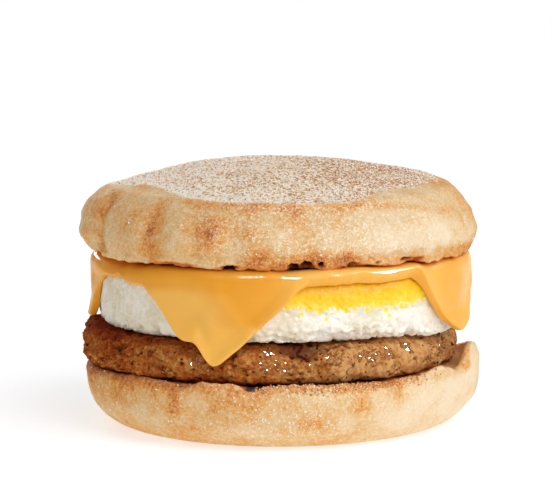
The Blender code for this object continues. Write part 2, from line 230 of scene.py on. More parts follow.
# The yolk's pool: where its middle is from the egg's axis, how far it reaches and how deep it is
YOLK_AZIMUTH = 28
YOLK_OFFSET = 18 * MM
YOLK_RADIUS = 36.5 * MM
YOLK_DEPTH = 8.0 * MM
POOL_AXIS = (
    EGG_AXIS[0] + YOLK_OFFSET * math.sin(math.radians(YOLK_AZIMUTH)),
    EGG_AXIS[1] - YOLK_OFFSET * math.cos(math.radians(YOLK_AZIMUTH)),
)
# The gap between the yolk and the white, and the angle from which the cut's edge is drawn sharp
POOL_GAP = 0.01 * MM
SHARP_FROM = 50
# An egg piece with fewer faces than this has lost its surface
LEAST_EGG_FACES = 1000

# Where the key light comes from
KEY_FROM = (0.52, -0.54, 0.68)
# Lamps that are only there to be reflected: (name, place, width and height, its setting, all that it lights)
LAMPS = (
    ("gloss_strip", (0.52, -0.36, 0.44), (0.62, 0.10), "strip_power", None),
    ("rim_strip", (-0.26, 0.62, 0.22), (0.30, 0.03), "rim_power", None),
    ("glint_lamp", (-0.10, -0.52, 0.44), (0.24, 0.08), "glint_power", None),
    ("fat_lamp", (0.22, -0.52, 0.34), (0.34, 0.26), "fat_power", "sausage_fat"),
    ("melt_strip", (0.64, -0.12, 0.42), (0.26, 0.07), "melt_power", "cheese_slice_melt"),
)
# The room is brighter towards the right and above
ROOM_LEAN = (0.32, -0.05, 0.32)
FLOOR_REACH = 3.0
PAPER_WHITE = "#FFFFFF"

# What the lamps and the camera are aimed at
MIDDLE = (0, 0, 32 * MM)
# The camera was fitted to the photo, whose frame is 552 pixels wide
PHOTO_WIDTH = 552
CAMERA_LENS = 160
CAMERA_SENSOR = 36
CAMERA_NEAR = 0.01
# The sandwich stands a little right of the frame's middle, and below it
CAMERA_SHIFT = (-3.5 / PHOTO_WIDTH, 42.6 / PHOTO_WIDTH)

# The least and largest size of a grain and how far it is drawn out, as shares of the size asked for
GRAIN_SIZES = (0.35, 1.3)
GRAIN_STRETCH = (0.7, 1.2)
# How far a grain lies from its host's point, and how far it stands out, as a share of its size
GRAIN_JITTER = 0.2 * MM
GRAIN_STANDS = 0.1
# The share of grains that lie on the crown's side
SIDE_GRAINS = 0.008
# A crumb's size in grains of semolina, and how many grains lie on the crown for one on the heel
CRUMB_SHARE = 1.3
CROWN_GRAINS_FOR_ONE = 25
# What each scatter of loose grains is drawn from
GRAIN_SEEDS = {"crown_semolina": 71, "heel_semolina": 72, "heel_crumbs": 74, "sausage_fat": 75}
# How far apart two seeds' relief and two seeds' cells lie, in grains
CRAGS_STEP = 17.3
CELLS_STEP = 5.7

# Toasted marks on the crown's side: (azimuth, spread round, height, spread up, strength)
CROWN_MARKS = (
    (-62.5, 3.0, 49, 6, 0.40),
    (-39, 3.4, 51, 4.5, 0.48),
    (-37.5, 4.0, 46, 4, 0.36),
    (-20, 4.2, 50.5, 4.0, 0.50),
    (-17, 7, 50, 4, 0.22),
    (-6, 4.0, 45.5, 3.2, 0.50),
    (-9, 7, 49, 4, 0.14),
    (5, 3, 54, 4, 0.25),
    (9, 3.5, 46, 3.5, 0.30),
    (17, 3, 53, 4, 0.25),
    (21, 4, 45.5, 3, 0.30),
    (60, 3, 49, 4, 0.2),
    (105, 6, 49, 5, 0.42),
    (132, 5, 47, 4, 0.4),
    (161, 7, 50, 5, 0.45),
    (-98, 5, 50, 5, 0.42),
    (-122, 6, 47, 4, 0.4),
    (-150, 6, 50, 4, 0.45),
)
# Toasted marks on the heel's side, in the same terms
HEEL_MARKS = (
    (-78, 12, 13, 4, 0.34),
    (-52, 5, 12, 3, 0.2),
    (-31, 2.2, 12, 5, 0.40),
    (-33, 5, 14, 2, 0.2),
    (-12, 9, 11, 3.5, 0.30),
    (8, 9, 8, 4, 0.20),
    (23, 3.5, 11, 3.0, 0.34),
    (35, 3, 12, 2.5, 0.28),
    (102, 9, 9, 4, 0.35),
    (140, 7, 11, 3, 0.4),
    (-110, 8, 10, 4, 0.38),
    (-150, 9, 8, 4, 0.35),
)
# Where fat has run on the meat's side, in the same terms
FAT_RUNS = (
    (19.4, 3.5, 21.3, 1.7, 0.9),
    (31.0, 7.0, 21.9, 2.0, 0.75),
    (36.0, 3.0, 21.6, 1.7, 0.9),
    (45.0, 5.0, 22.3, 1.6, 0.7),
    (0.7, 3.0, 23.0, 1.4, 0.9),
    (0.5, 8.0, 20.6, 2.2, 0.75),
    (-20, 4.5, 20.9, 2.6, 0.8),
    (62.0, 9.0, 19.5, 2.0, 0.5),
    (118, 9.0, 20.5, 2.4, 0.8),
    (165, 12.0, 21.0, 2.2, 0.8),
    (-128, 9.0, 20.5, 2.4, 0.8),
)
# Where the whole side of the crown is browner, toasted, and at the left and front left also painted darker as
# shade: (azimuth, spread, share)
CROWN_TOAST_AND_SHADE = (
    (-60, 50, 0.15),
    (-12, 26, 0.09),
    (2, 22, 0.05),
    (88, 22, 0.32),
)
# The same just under the rim of its griddled face
UNDER_RIM_TOAST = ((-12, 38, 0.26), (45, 24, 0.16))
# How far the griddled face reaches, and where it ends further in: (azimuth, spread, distance)
GRIDDLE_RADIUS = 41.4 * MM
GRIDDLE_RETREATS = ((-55, 20, 5.4 * MM), (175, 30, 2.5 * MM))
# Where the heel's side is browner or paler, and the same near its rim and on it
HEEL_TOAST = ((-60, 55, 0.16), (55, 25, -0.17))
NEAR_RIM_TOAST = ((-70, 32, 0.30), (-20, 25, 0.14))
RIM_TOAST = ((-30, 30, 0.22), (60, 10, 0.22), (180, 95, 0.22))
# Where the meat is paler or darker, in the same terms
PATTY_TONES = ((45, 50, 0.40), (78, 14, 0.12), (-10, 14, -0.10))


def linear(hex_colour, alpha=1.0):
    """An sRGB hex colour as Blender's linear colour."""
    channels = [int(hex_colour[i : i + 2], 16) / 255 for i in (1, 3, 5)]
    made = [c / 12.92 if c <= 0.04045 else ((c + 0.055) / 1.055) ** 2.4 for c in channels]
    return (*made, alpha)


# Shaping helpers, which take whole arrays


def ease(low, high, value):
    """0 below low, 1 above high, smooth between."""
    share = np.clip((value - low) / (high - low), 0, 1)
    return share * share * (3 - 2 * share)


def hump(value, middle, spread):
    """1 at middle, falling smoothly to nothing about two spreads away."""
    return np.exp(-(((value - middle) / spread) ** 2))


def turn_from(middle, azimuth):
    """Degrees from middle to azimuth, the shorter way round."""
    return (azimuth - middle + 180) % 360 - 180


def bump_at(azimuth, middle, spread):
    """A hump round the side of a layer."""
    return hump(turn_from(middle, azimuth), 0, spread)


def sum_of_bumps(azimuth, features):
    """Bumps of several sizes: (azimuth, spread, size)."""
    return sum(size * bump_at(azimuth, middle, spread) for middle, spread, size in features)


def outline(azimuth, lobes):
    """The share of its nominal radius that a layer reaches at this azimuth."""
    return 1 + sum(
        share * np.cos(np.radians(waves * azimuth + phase)) for waves, share, phase in lobes
    )


def at_azimuth(azimuth, radius, height):
    """Points about the origin's axis."""
    angle = np.radians(azimuth)
    return np.stack(np.broadcast_arrays(radius * np.sin(angle), -radius * np.cos(angle), height), axis=-1)


def crags(points, grain, octaves=3, seed=0):
    """Rough relief between about -1 and 1 whose lumps are about grain across, with finer ones by octaves."""
    spots = (points.reshape(-1, 3) / grain + CRAGS_STEP * seed).tolist()
    values = [noise.fractal(spot, 1.0, 2.2, octaves) for spot in spots]
    return np.array(values).reshape(points.shape[:-1])


def to_cell(points, grain, seed=0):
    """How far each point is from the nearest of many scattered cells' middles, as a share of the grain."""
    spots = (points.reshape(-1, 3) / grain + CELLS_STEP * seed).tolist()
    return np.array([noise.voronoi(spot)[0][0] for spot in spots])


def dense_line(points, rounds):
    """A profile from (radius, height, spacing to the next point), with each corner rounded by some passes."""
    line = []
    for (r0, z0, spacing), (r1, z1, _) in zip(points, points[1:]):
        count = max(1, round(math.hypot(r1 - r0, z1 - z0) / spacing))
        line += [(r0 + (r1 - r0) * i / count, z0 + (z1 - z0) * i / count) for i in range(count)]
    line.append(points[-1][:2])
    line = np.array(line)
    for _ in range(rounds):
        line[1:-1] = (line[:-2] + 2 * line[1:-1] + line[2:]) / 4
    line[0, 0] = line[-1, 0] = 0
    return line


def placed(name, data):
    """An object with this data, in the scene."""
    obj = bpy.data.objects.new(name, data)
    bpy.context.scene.collection.objects.link(obj)
    return obj


def turned_form(name, profile, columns, place, axis):
    """A closed form from a profile that starts and ends on the axis. place(azimuth, a, b) shapes it."""
    azimuth = np.arange(columns)[None, :] * 360 / columns - 180
    points = place(*np.broadcast_arrays(azimuth, profile[:, :1], profile[:, 1:]))
    points = points + np.array([*axis, 0])
    rings = points[1:-1].reshape(-1, 3)
    verts = np.concatenate([points[:1, 0], rings, points[-1:, 0]])
    ring_count = len(profile) - 2
    here = np.arange(columns)
    right = (here + 1) % columns
    above = (1 + columns * np.arange(ring_count - 1))[:, None]
    below = above + columns
    quads = np.stack([above + here, below + here, below + right, above + right], axis=-1)
    top = [(0, 1 + a, 1 + b) for a, b in zip(here.tolist(), right.tolist())]
    last = 1 + columns * (ring_count - 1)
    bottom = [(last + a, len(verts) - 1, last + b) for a, b in zip(here.tolist(), right.tolist())]
    mesh = bpy.data.meshes.new(name)
    mesh.from_pydata(verts.tolist(), [], [*top, *quads.reshape(-1, 4).tolist(), *bottom])
    mesh.shade_smooth()
    return placed(name, mesh)


def points_of(obj):
    """A row of three coordinates a point."""
    flat = np.empty(3 * len(obj.data.vertices))
    obj.data.vertices.foreach_get("co", flat)
    return flat.reshape(-1, 3)


def normals_of(obj):
    """A row of three shares a point."""
    flat = np.empty(3 * len(obj.data.vertices), np.float32)
    obj.data.vertex_normals.foreach_get("vector", flat)
    return flat.reshape(-1, 3).astype(float)


def swell(obj, amount):
    """Moves each point along its normal by its own amount."""
    points = points_of(obj) + normals_of(obj) * amount[:, None]
    obj.data.vertices.foreach_set("co", points.reshape(-1))
    obj.data.update()


def painted_on(obj, name):
    """The numbers that paint kept."""
    values = np.empty(len(obj.data.vertices), np.float32)
    obj.data.attributes[name].data.foreach_get("value", values)
    return values.astype(float)


def paint(obj, name, values):
    """Keeps one number a point, which the material reads."""
    attribute = obj.data.attributes.new(name, "FLOAT", "POINT")
    attribute.data.foreach_set("value", np.clip(values, 0, 1).astype(np.float32))


def polar_of(points, axis):
    """Azimuth, radius and height about a layer's axis."""
    x = points[:, 0] - axis[0]
    y = points[:, 1] - axis[1]
    return np.degrees(np.arctan2(x, -y)), np.hypot(x, y), points[:, 2]


def marks_on(azimuth, height, marks):
    """How toasted a side is, from soft patches that stand on it."""
    total = 0
    for middle, spread, level, rise, strength in marks:
        mark = strength * bump_at(azimuth, middle, spread) * hump(height, level * MM, rise * MM)
        total = np.maximum(total, mark)
    return total


def dress(obj, material, slot, *nodes):
    """Gives a piece its material, hangs it on the part's body, and hides the CAD nodes it replaces."""
    obj.data.materials.clear()
    obj.data.materials.append(material)
    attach(obj, BODY)
    if nodes:
        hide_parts(*nodes)


# Materials

# Blender's noise has lumps about this share of its period across
LUMP = 0.7


def add(tree, kind, sockets=None, stops=(), **settings):
    """Adds a node with its settings, values and links. A node among the values is its first output."""
    made = tree.nodes.new(kind)
    for name, value in settings.items():
        setattr(made, name, value)
    for name, value in (sockets or {}).items():
        if isinstance(value, bpy.types.Node):
            value = value.outputs[0]
        if isinstance(value, bpy.types.NodeSocket):
            tree.links.new(value, made.inputs[name])
        else:
            made.inputs[name].default_value = value
    for i, (position, hex_colour) in enumerate(stops):
        stop = made.color_ramp.elements[i] if i < 2 else made.color_ramp.elements.new(position)
        stop.position = position
        stop.color = linear(hex_colour)
    return made


def new_material(name, shading, painted=()):
    """A material, its tree, its shader, the object's coordinates, and what is painted on the points."""
    material = bpy.data.materials.new(name)
    material.use_nodes = True
    tree = material.node_tree
    tree.nodes.clear()
    shader = add(tree, "ShaderNodeBsdfPrincipled", shading)
    add(tree, "ShaderNodeOutputMaterial", {"Surface": shader})
    where = add(tree, "ShaderNodeTexCoord").outputs["Object"]
    shares = [add(tree, "ShaderNodeAttribute", attribute_name=share).outputs["Fac"] for share in painted]
    return material, tree, shader, where, shares


def connect(tree, shader, links):
    """Links each node's first output to the shader's socket of that name."""
    for socket, node in links.items():
        tree.links.new(node.outputs[0], shader.inputs[socket])


def toasted_muffin_crust(look):
    """Yeast crust baked on a griddle: matt, cream where it rose, brown where it touched, and floury."""
    shading = {
        "Subsurface Weight": 0.2,
        "Subsurface Radius": (1.0, 0.55, 0.25),
        "Subsurface Scale": 1.4 * MM,
        "Specular IOR Level": 0.15,
    }
    painted = ("toast", "griddle", "flour", "crumb", "hollow", "fuzzy")
    material, tree, shader, where, shares = new_material("griddled_muffin_crust", shading, painted)
    toast, griddle, flour, crumb, hollow, fuzzy = shares
    # Fine crust grain, and fuzz on it that is drawn coarser than the real one to show
    grain = {"Vector": where, "Detail": 3.0, "Roughness": 0.7}
    grit = add(tree, "ShaderNodeTexNoise", {**grain, "Scale": LUMP / (0.55 * MM)})
    fuzz = add(tree, "ShaderNodeTexNoise", {**grain, "Scale": LUMP / (0.45 * MM), "Distortion": 1.2})
    # Heat browns the raised grains first, so a toasted patch is speckled, and pale crust is nearly plain
    reach = {"From Min": 0.36, "From Max": 0.64}
    speckled = add(tree, "ShaderNodeMapRange", {"Value": grit, **reach, "To Min": 0.7, "To Max": 1.3})
    finely = add(tree, "ShaderNodeMapRange", {"Value": fuzz, **reach, "To Min": 0.07, "To Max": -0.07})
    browning = add(tree, "ShaderNodeMath", {0: toast, 1: speckled, 2: finely}, operation="MULTIPLY_ADD")
    stops = (
        (0.0, look.pale),
        (0.3, look.cream),
        (0.52, look.golden),
        (0.76, look.toasted),
        (1.0, look.scorched),
    )
    side = add(tree, "ShaderNodeValToRGB", {"Fac": browning}, stops)
    tips = add(tree, "ShaderNodeMapRange", {"Value": fuzz, "From Min": 0.5, "From Max": 0.62, "To Max": 1.0})
    fibres = add(tree, "ShaderNodeMath", {0: tips, 1: fuzzy}, operation="MULTIPLY")
    side = add(tree, "ShaderNodeMixRGB", {"Fac": fibres, "Color1": side, "Color2": linear(look.fibre)})
    # The griddled face keeps a coat of semolina and flour, and the brown face shows between
    dust = add(tree, "ShaderNodeMapRange", {"Value": grit, **reach, "To Min": -0.56, "To Max": 0.56})
    dusty = add(tree, "ShaderNodeMath", {0: flour, 1: dust})
    stops = (
        (0.12, look.griddle_brown),
        (0.38, look.griddle_tan),
        (0.62, look.griddle_light),
        (0.88, look.flour),
    )
    face = add(tree, "ShaderNodeValToRGB", {"Fac": dusty}, stops)
    skin = add(tree, "ShaderNodeMixRGB", {"Fac": griddle, "Color1": side, "Color2": face})
    # Torn crumb toasts in grains, and is painted darker in its holes as shade
    stops = ((0.34, look.scorched), (0.45, look.torn), (0.56, look.golden), (0.68, look.cream))
    torn = add(tree, "ShaderNodeValToRGB", {"Fac": grit}, stops)
    skin = add(tree, "ShaderNodeMixRGB", {"Fac": crumb, "Color1": skin, "Color2": torn})
    # Round a hole the crumb has toasted orange, and in the hole and in gaps it is painted dark as shade
    depths = add(tree, "ShaderNodeValToRGB", {"Fac": hollow}, ((0.35, look.torn), (0.75, look.hollow)))
    reached = add(tree, "ShaderNodeMapRange", {"Value": hollow, "From Min": 0.05, "From Max": 0.4})
    skin = add(tree, "ShaderNodeMixRGB", {"Fac": reached, "Color1": skin, "Color2": depths})
    coarse = {"Height": grit, "Strength": 0.7, "Distance": 0.25 * MM}
    fine = {"Height": fuzz, "Strength": 0.8, "Distance": 0.3 * MM}
    low = add(tree, "ShaderNodeBump", coarse)
    relief = add(tree, "ShaderNodeBump", {**fine, "Normal": low})
    dryness = add(tree, "ShaderNodeMapRange", {"Value": grit, **reach, "To Min": 0.62, "To Max": 0.85})
    connect(tree, shader, {"Base Color": skin, "Normal": relief, "Roughness": dryness})
    return material


def browned_pork_sausage(look):
    """Coarse ground pork fried brown: pitted, flecked with pepper, and wet with fat in places."""
    shading = {
        "Specular IOR Level": 0.02,
        "Subsurface Weight": 0.08,
        "Subsurface Radius": (1.0, 0.35, 0.2),
        "Subsurface Scale": 1.2 * MM,
    }
    painted = ("tone", "crevice", "flush", "wet")
    material, tree, shader, where, shares = new_material("browned_pork_sausage", shading, painted)
    tone, crevice, flush, wet = shares
    grain = {"Vector": where, "Detail": 4.0, "Roughness": 0.7}
    mince = add(tree, "ShaderNodeTexNoise", {**grain, "Scale": LUMP / (1.4 * MM), "Distortion": 0.6})
    grit = add(tree, "ShaderNodeTexNoise", {**grain, "Scale": LUMP / (0.55 * MM)})
    reach = {"From Min": 0.34, "From Max": 0.66}
    lumps = add(tree, "ShaderNodeMapRange", {"Value": mince, **reach, "To Min": -0.13, "To Max": 0.13})
    specks = add(tree, "ShaderNodeMapRange", {"Value": grit, **reach, "To Min": -0.24, "To Max": 0.24})
    shade = add(tree, "ShaderNodeMath", {0: tone, 1: add(tree, "ShaderNodeMath", {0: lumps, 1: specks})})
    stops = ((0.0, look.dark), (0.3, look.brown), (0.6, look.tan), (0.95, look.pale))
    meat = add(tree, "ShaderNodeValToRGB", {"Fac": shade}, stops)
    # Reddish brown round the pits, where the fat has fried out
    meat = add(tree, "ShaderNodeMixRGB", {"Fac": flush, "Color1": meat, "Color2": linear(look.reddish)})
    # Painted shade: crevices, pits, the lower edge and the gap under the egg are painted dark
    meat = add(tree, "ShaderNodeMixRGB", {"Fac": crevice, "Color1": meat, "Color2": linear(look.crevice)})
    # Ground pepper, and painted shade in small pits: in one cell of three, a dark dot about half a millimetre
    # across
    cells = add(tree, "ShaderNodeTexVoronoi", {"Vector": where, "Scale": 1 / (1.5 * MM), "Randomness": 1.0})
    chosen = add(tree, "ShaderNodeSeparateColor", {0: cells.outputs["Color"]})
    picked = add(tree, "ShaderNodeMath", {0: chosen, 1: 0.35}, operation="LESS_THAN")
    near = {"Value": cells, "From Min": 0.17, "From Max": 0.25, "To Min": 0.9, "To Max": 0.0}
    dot = add(tree, "ShaderNodeMapRange", near)
    dots = add(tree, "ShaderNodeMath", {0: picked, 1: dot}, operation="MULTIPLY")
    meat = add(tree, "ShaderNodeMixRGB", {"Fac": dots, "Color1": meat, "Color2": linear(look.pepper_and_pit_shade)})
    coarse = {"Height": mince, "Strength": 0.6, "Distance": 0.6 * MM}
    fine = {"Height": grit, "Strength": 0.8, "Distance": 0.35 * MM}
    low = add(tree, "ShaderNodeBump", coarse)
    relief = add(tree, "ShaderNodeBump", {**fine, "Normal": low})
    sheen = add(tree, "ShaderNodeMapRange", {"Value": wet, "To Min": 0.8, "To Max": 0.4})
    connect(tree, shader, {"Base Color": meat, "Normal": relief, "Roughness": sheen})
    return material


def egg_colours(tree, where, shares, look):
    """White below and yolk above, with drops and rings where they ran together; and the egg's grain."""
    over, depth, bubble, cloud = shares
    fine = {"Vector": where, "Scale": LUMP / (0.7 * MM), "Detail": 4.0, "Roughness": 0.65}
    grain = add(tree, "ShaderNodeTexNoise", fine)
    reach = {"From Min": 0.34, "From Max": 0.66}
    mottle = add(tree, "ShaderNodeMapRange", {"Value": grain, **reach, "To Min": -0.25, "To Max": 0.25})
    clouds = add(tree, "ShaderNodeMath", {0: cloud, 1: mottle})
    white = add(tree, "ShaderNodeValToRGB", {"Fac": clouds}, ((0.2, look.white_shade), (0.75, look.white)))
    richer = add(tree, "ShaderNodeMapRange", {"Value": grain, **reach, "To Min": -0.16, "To Max": 0.16})
    richness = add(tree, "ShaderNodeMath", {0: depth, 1: richer})
    stops = ((0.0, look.yolk_light), (0.4, look.yolk), (1.0, look.yolk_deep))
    yolk = add(tree, "ShaderNodeValToRGB", {"Fac": richness}, stops)
    yolk = add(tree, "ShaderNodeMixRGB", {"Fac": bubble, "Color1": yolk, "Color2": linear(look.yolk_bubble)})
    # Whatever is painted over half is yolk, and the grain frays the border
    fray = add(tree, "ShaderNodeMapRange", {"Value": grain, **reach, "To Min": -0.07, "To Max": 0.07})
    frayed = add(tree, "ShaderNodeMath", {0: over, 1: fray})
    share = add(tree, "ShaderNodeMapRange", {"Value": frayed, "From Min": 0.44, "From Max": 0.56})
    return add(tree, "ShaderNodeMixRGB", {"Fac": share, "Color1": white, "Color2": yolk}), grain


def set_egg(name, shading, look):
    """One part of an egg set by steam in a ring. It has the colours of both, as the two run together."""
    material, tree, shader, where, shares = new_material(name, shading, ("over", "depth", "bubble", "cloud"))
    colour, grain = egg_colours(tree, where, shares, look)
    lump = {"Vector": where, "Scale": LUMP / (2.2 * MM), "Detail": 3.0, "Roughness": 0.6}
    lumps = add(tree, "ShaderNodeTexNoise", lump)
    coarse = {"Height": lumps, "Strength": 0.45, "Distance": 0.5 * MM}
    fine = {"Height": grain, "Strength": 0.8, "Distance": 0.4 * MM}
    low = add(tree, "ShaderNodeBump", coarse)
    relief = add(tree, "ShaderNodeBump", {**fine, "Normal": low})
    connect(tree, shader, {"Base Color": colour, "Normal": relief})
    return material


def steamed_egg_white(look):
    """Firm steamed white: soft satin and slightly translucent, finely pitted by steam."""
    shading = {
        "Roughness": 0.5,
        "Specular IOR Level": 0.3,
        "Subsurface Weight": 0.3,
        "Subsurface Radius": (1.0, 0.8, 0.6),
        "Subsurface Scale": 1.2 * MM,
    }
    return set_egg("steamed_egg_white", shading, look)


def cooked_egg_yolk(look):
    """Firm cooked yolk: bright yellow and moist, with the fine bubbles of a broken yolk."""
    shading = {
        "Roughness": 0.42,
        "Specular IOR Level": 0.08,
        "Subsurface Weight": 0.2,
        "Subsurface Radius": (1.0, 0.6, 0.1),
        "Subsurface Scale": 1.0 * MM,
    }
    return set_egg("cooked_egg_yolk", shading, look)


def melted_cheese(look):
    """Processed cheddar just melted: smooth, glossy and slightly translucent."""
    shading = {
        "Subsurface Weight": 0.3,
        "Subsurface Radius": (1.0, 0.55, 0.15),
        "Subsurface Scale": 1.8 * MM,
        "Coat Weight": 0.25,
        "Coat Roughness": 0.05,
        "Specular IOR Level": 0.03,
    }
    material, tree, shader, where, (thick,) = new_material("melted_processed_cheese", shading, ("thick",))
    waves = {"Vector": where, "Scale": LUMP / (6 * MM), "Detail": 2.0, "Roughness": 0.4}
    pores = {"Vector": where, "Scale": LUMP / (1.2 * MM), "Detail": 2.0, "Roughness": 0.5}
    wave = add(tree, "ShaderNodeTexNoise", waves)
    pore = add(tree, "ShaderNodeTexNoise", pores)
    # The deeper colour is painted where the melt lies thicker and as painted shade
    body = add(tree, "ShaderNodeValToRGB", {"Fac": thick}, ((0.15, look.body), (0.85, look.deep)))
    coarse = {"Height": wave, "Strength": 0.2, "Distance": 0.6 * MM}
    fine = {"Height": pore, "Strength": 0.12, "Distance": 0.15 * MM}
    low = add(tree, "ShaderNodeBump", coarse)
    relief = add(tree, "ShaderNodeBump", {**fine, "Normal": low})
    satin = {"Value": wave, "From Min": 0.35, "From Max": 0.65, "To Min": 0.26, "To Max": 0.4}
    gloss = add(tree, "ShaderNodeMapRange", satin)
    connect(tree, shader, {"Base Color": body, "Normal": relief, "Roughness": gloss})
    return material


def grain_material(name, stops, roughness=0.85, specular=0.2):
    """Loose grains or drops, each of one colour by its tone: matt for flour and crumb, glossy for fat."""
    shading = {"Roughness": roughness, "Specular IOR Level": specular}
    material, tree, shader, _, (tone,) = new_material(name, shading, ("tone",))
    connect(tree, shader, {"Base Color": add(tree, "ShaderNodeValToRGB", {"Fac": tone}, stops)})
    return material


# The layers' forms


def crown_form():
    """The muffin's upper half: a domed griddled top, a bulging pale side and a torn lower edge."""
    side_z = 47.6 * MM
    profile = dense_line(
        [
            (0, CROWN_APEX_Z, 0.8 * MM),
            (12 * MM, CROWN_APEX_Z - 0.5 * MM, 0.7 * MM),
            (23 * MM, CROWN_APEX_Z - 1.9 * MM, 0.6 * MM),
            (32 * MM, CROWN_APEX_Z - 4.2 * MM, 0.6 * MM),
            (38 * MM, CROWN_APEX_Z - 6.3 * MM, 0.5 * MM),
            (41.8 * MM, CROWN_RIM_Z, 0.4 * MM),
            (44.6 * MM, CROWN_RIM_Z - 2.2 * MM, 0.4 * MM),
            (46.9 * MM, CROWN_RIM_Z - 5.0 * MM, 0.4 * MM),
            (CROWN_RADIUS, side_z, 0.4 * MM),
            (CROWN_RADIUS - 0.4 * MM, side_z - 2.2 * MM, 0.3 * MM),
            (CROWN_RADIUS - 1.2 * MM, CROWN_CUT_Z + 1.2 * MM, 0.25 * MM),
            (CROWN_RADIUS - 1.9 * MM, CROWN_CUT_Z - 0.2 * MM, 0.25 * MM),
            (CROWN_RADIUS - 2.6 * MM, CROWN_CUT_Z - 0.5 * MM, 0.3 * MM),
            (CROWN_RADIUS - 3.6 * MM, CROWN_CUT_Z - 0.2 * MM, 0.5 * MM),
            (CROWN_RADIUS - 8.0 * MM, CROWN_CUT_Z, 8 * MM),
            (0, CROWN_CUT_Z, 8 * MM),
        ],
        rounds=3,
    )

    def place(azimuth, radius, height):
        point = at_azimuth(azimuth, radius, height)
        wall = ease(0.75 * CROWN_RADIUS, 0.97 * CROWN_RADIUS, radius)
        side = wall * ease(CROWN_CUT_Z + 0.5 * MM, CROWN_CUT_Z + 3 * MM, height)
        side *= ease(CROWN_RIM_Z + 1.5 * MM, CROWN_RIM_Z - 3 * MM, height)
        torn = ease(CROWN_RADIUS - 5 * MM, CROWN_RADIUS - 2.5 * MM, radius)
        torn *= ease(CROWN_CUT_Z + 5 * MM, CROWN_CUT_Z + 1 * MM, height)
        # The rim stands fuller at the right, and further out and up at the left
        full = bump_at(azimuth, 80, 55) * ease(22 * MM, 38 * MM, radius)
        full *= ease(side_z - 2 * MM, CROWN_RIM_Z, height)
        shoulder = 1.3 * MM * full
        left = 1.5 * MM * bump_at(azimuth, -85, 40) * ease(38 * MM, 42 * MM, radius)
        left *= ease(side_z, CROWN_RIM_Z - 2 * MM, height)
        dome = 0.5 * MM * crags(point, 30 * MM) * ease(CROWN_RIM_Z - 6 * MM, CROWN_RIM_Z + 2 * MM, height)
        # The far left lobe rose less and ends higher, at a sharp crease
        lobe = 0.9 * MM * ease(-63, -66.5, azimuth) * ease(-118, -100, azimuth)
        lift = torn * (sum_of_bumps(azimuth, CROWN_NOOKS) + lobe + 0.5 * MM * abs(crags(point, 5 * MM)))
        folds = sum_of_bumps(azimuth, CROWN_FOLDS) + sum_of_bumps(azimuth, CROWN_CREASES)
        relief = side * (0.7 * MM * crags(point, 16 * MM) - folds)
        reach = radius * (1 + wall * (outline(azimuth, CROWN_LOBES) - 1)) + relief + 0.3 * shoulder + left
        left_shoulder = 0.8 * MM * bump_at(azimuth, -72, 32) * ease(30 * MM, 39 * MM, radius)
        left_shoulder *= ease(side_z + 1 * MM, CROWN_RIM_Z - 1 * MM, height)
        return at_azimuth(azimuth, reach, height + lift + dome + shoulder + left_shoulder)

    crown = turned_form("muffin_crown_crust", profile, CROWN_COLUMNS, place, CROWN_AXIS)
    points = points_of(crown)
    polar = polar_of(points, CROWN_AXIS)
    relief, nook = crown_relief(points, *polar)
    swell(crown, relief)
    paint_crown(crown, points, *polar, nook)
    return crown


def crown_relief(points, azimuth, radius, height):
    """The crust's pores, crumbs, cracks and holes as heights over the smooth form, and how deep in a hole."""
    above = ease(CROWN_CUT_Z + 0.4 * MM, CROWN_CUT_Z + 2 * MM, height)
    edge = ease(CROWN_CUT_Z + 4.5 * MM, CROWN_CUT_Z + 1.5 * MM, height) * ease(42 * MM, 44 * MM, radius)
    front = 0.35 + 0.65 * bump_at(azimuth, -25, 60)
    ridge = 0.45 * MM * front * hump(radius, 41.3 * MM, 1.5 * MM) * ease(52 * MM, 55 * MM, height)
    pitting = 0.16 * MM * crags(points, 4 * MM, 3, 1) + 0.07 * MM * crags(points, 1.4 * MM, 2, 2)
    relief = above * pitting + ridge
    # Along the torn edge the crust breaks off in crumbs
    crumbs = np.clip(crags(points, 2.2 * MM, 3, 3) + 0.15, 0, 1)
    relief -= edge * (0.8 * MM * crumbs + 0.25 * MM * ease(0.35, 0.1, to_cell(points, 1.6 * MM, 4)))
    level = height / MM
    wander = 0.5 * crags(points, 3 * MM, 2, 7)
    for middle, lean, low, high, width, depth in CROWN_CRACKS:
        turn = azimuth - middle - lean * (level - (low + high) / 2)
        window = ease(low - 0.6, low + 0.6, level) * ease(high + 0.6, high - 0.6, level)
        groove = hump(turn + wander, 0, width)
        lips = hump(turn + wander, -1.6 * width, 1.2 * width)
        relief += depth * MM * window * (0.5 * lips - groove) * (radius > 42 * MM)
    warp = crags(points, 2.4 * MM, 3, 10)
    nook = 0
    for middle, half_width, middle_height, half_height, strength in CROWN_HOLES:
        across = turn_from(middle, azimuth) / half_width
        reach = np.hypot(across, (level - middle_height) / half_height) + 0.5 * warp
        nook = np.maximum(nook, strength * ease(1.5, 0.7, reach))
    nook *= radius > 42.5 * MM
    relief -= 1.7 * MM * ease(0.35, 0.8, nook)
    return relief, nook


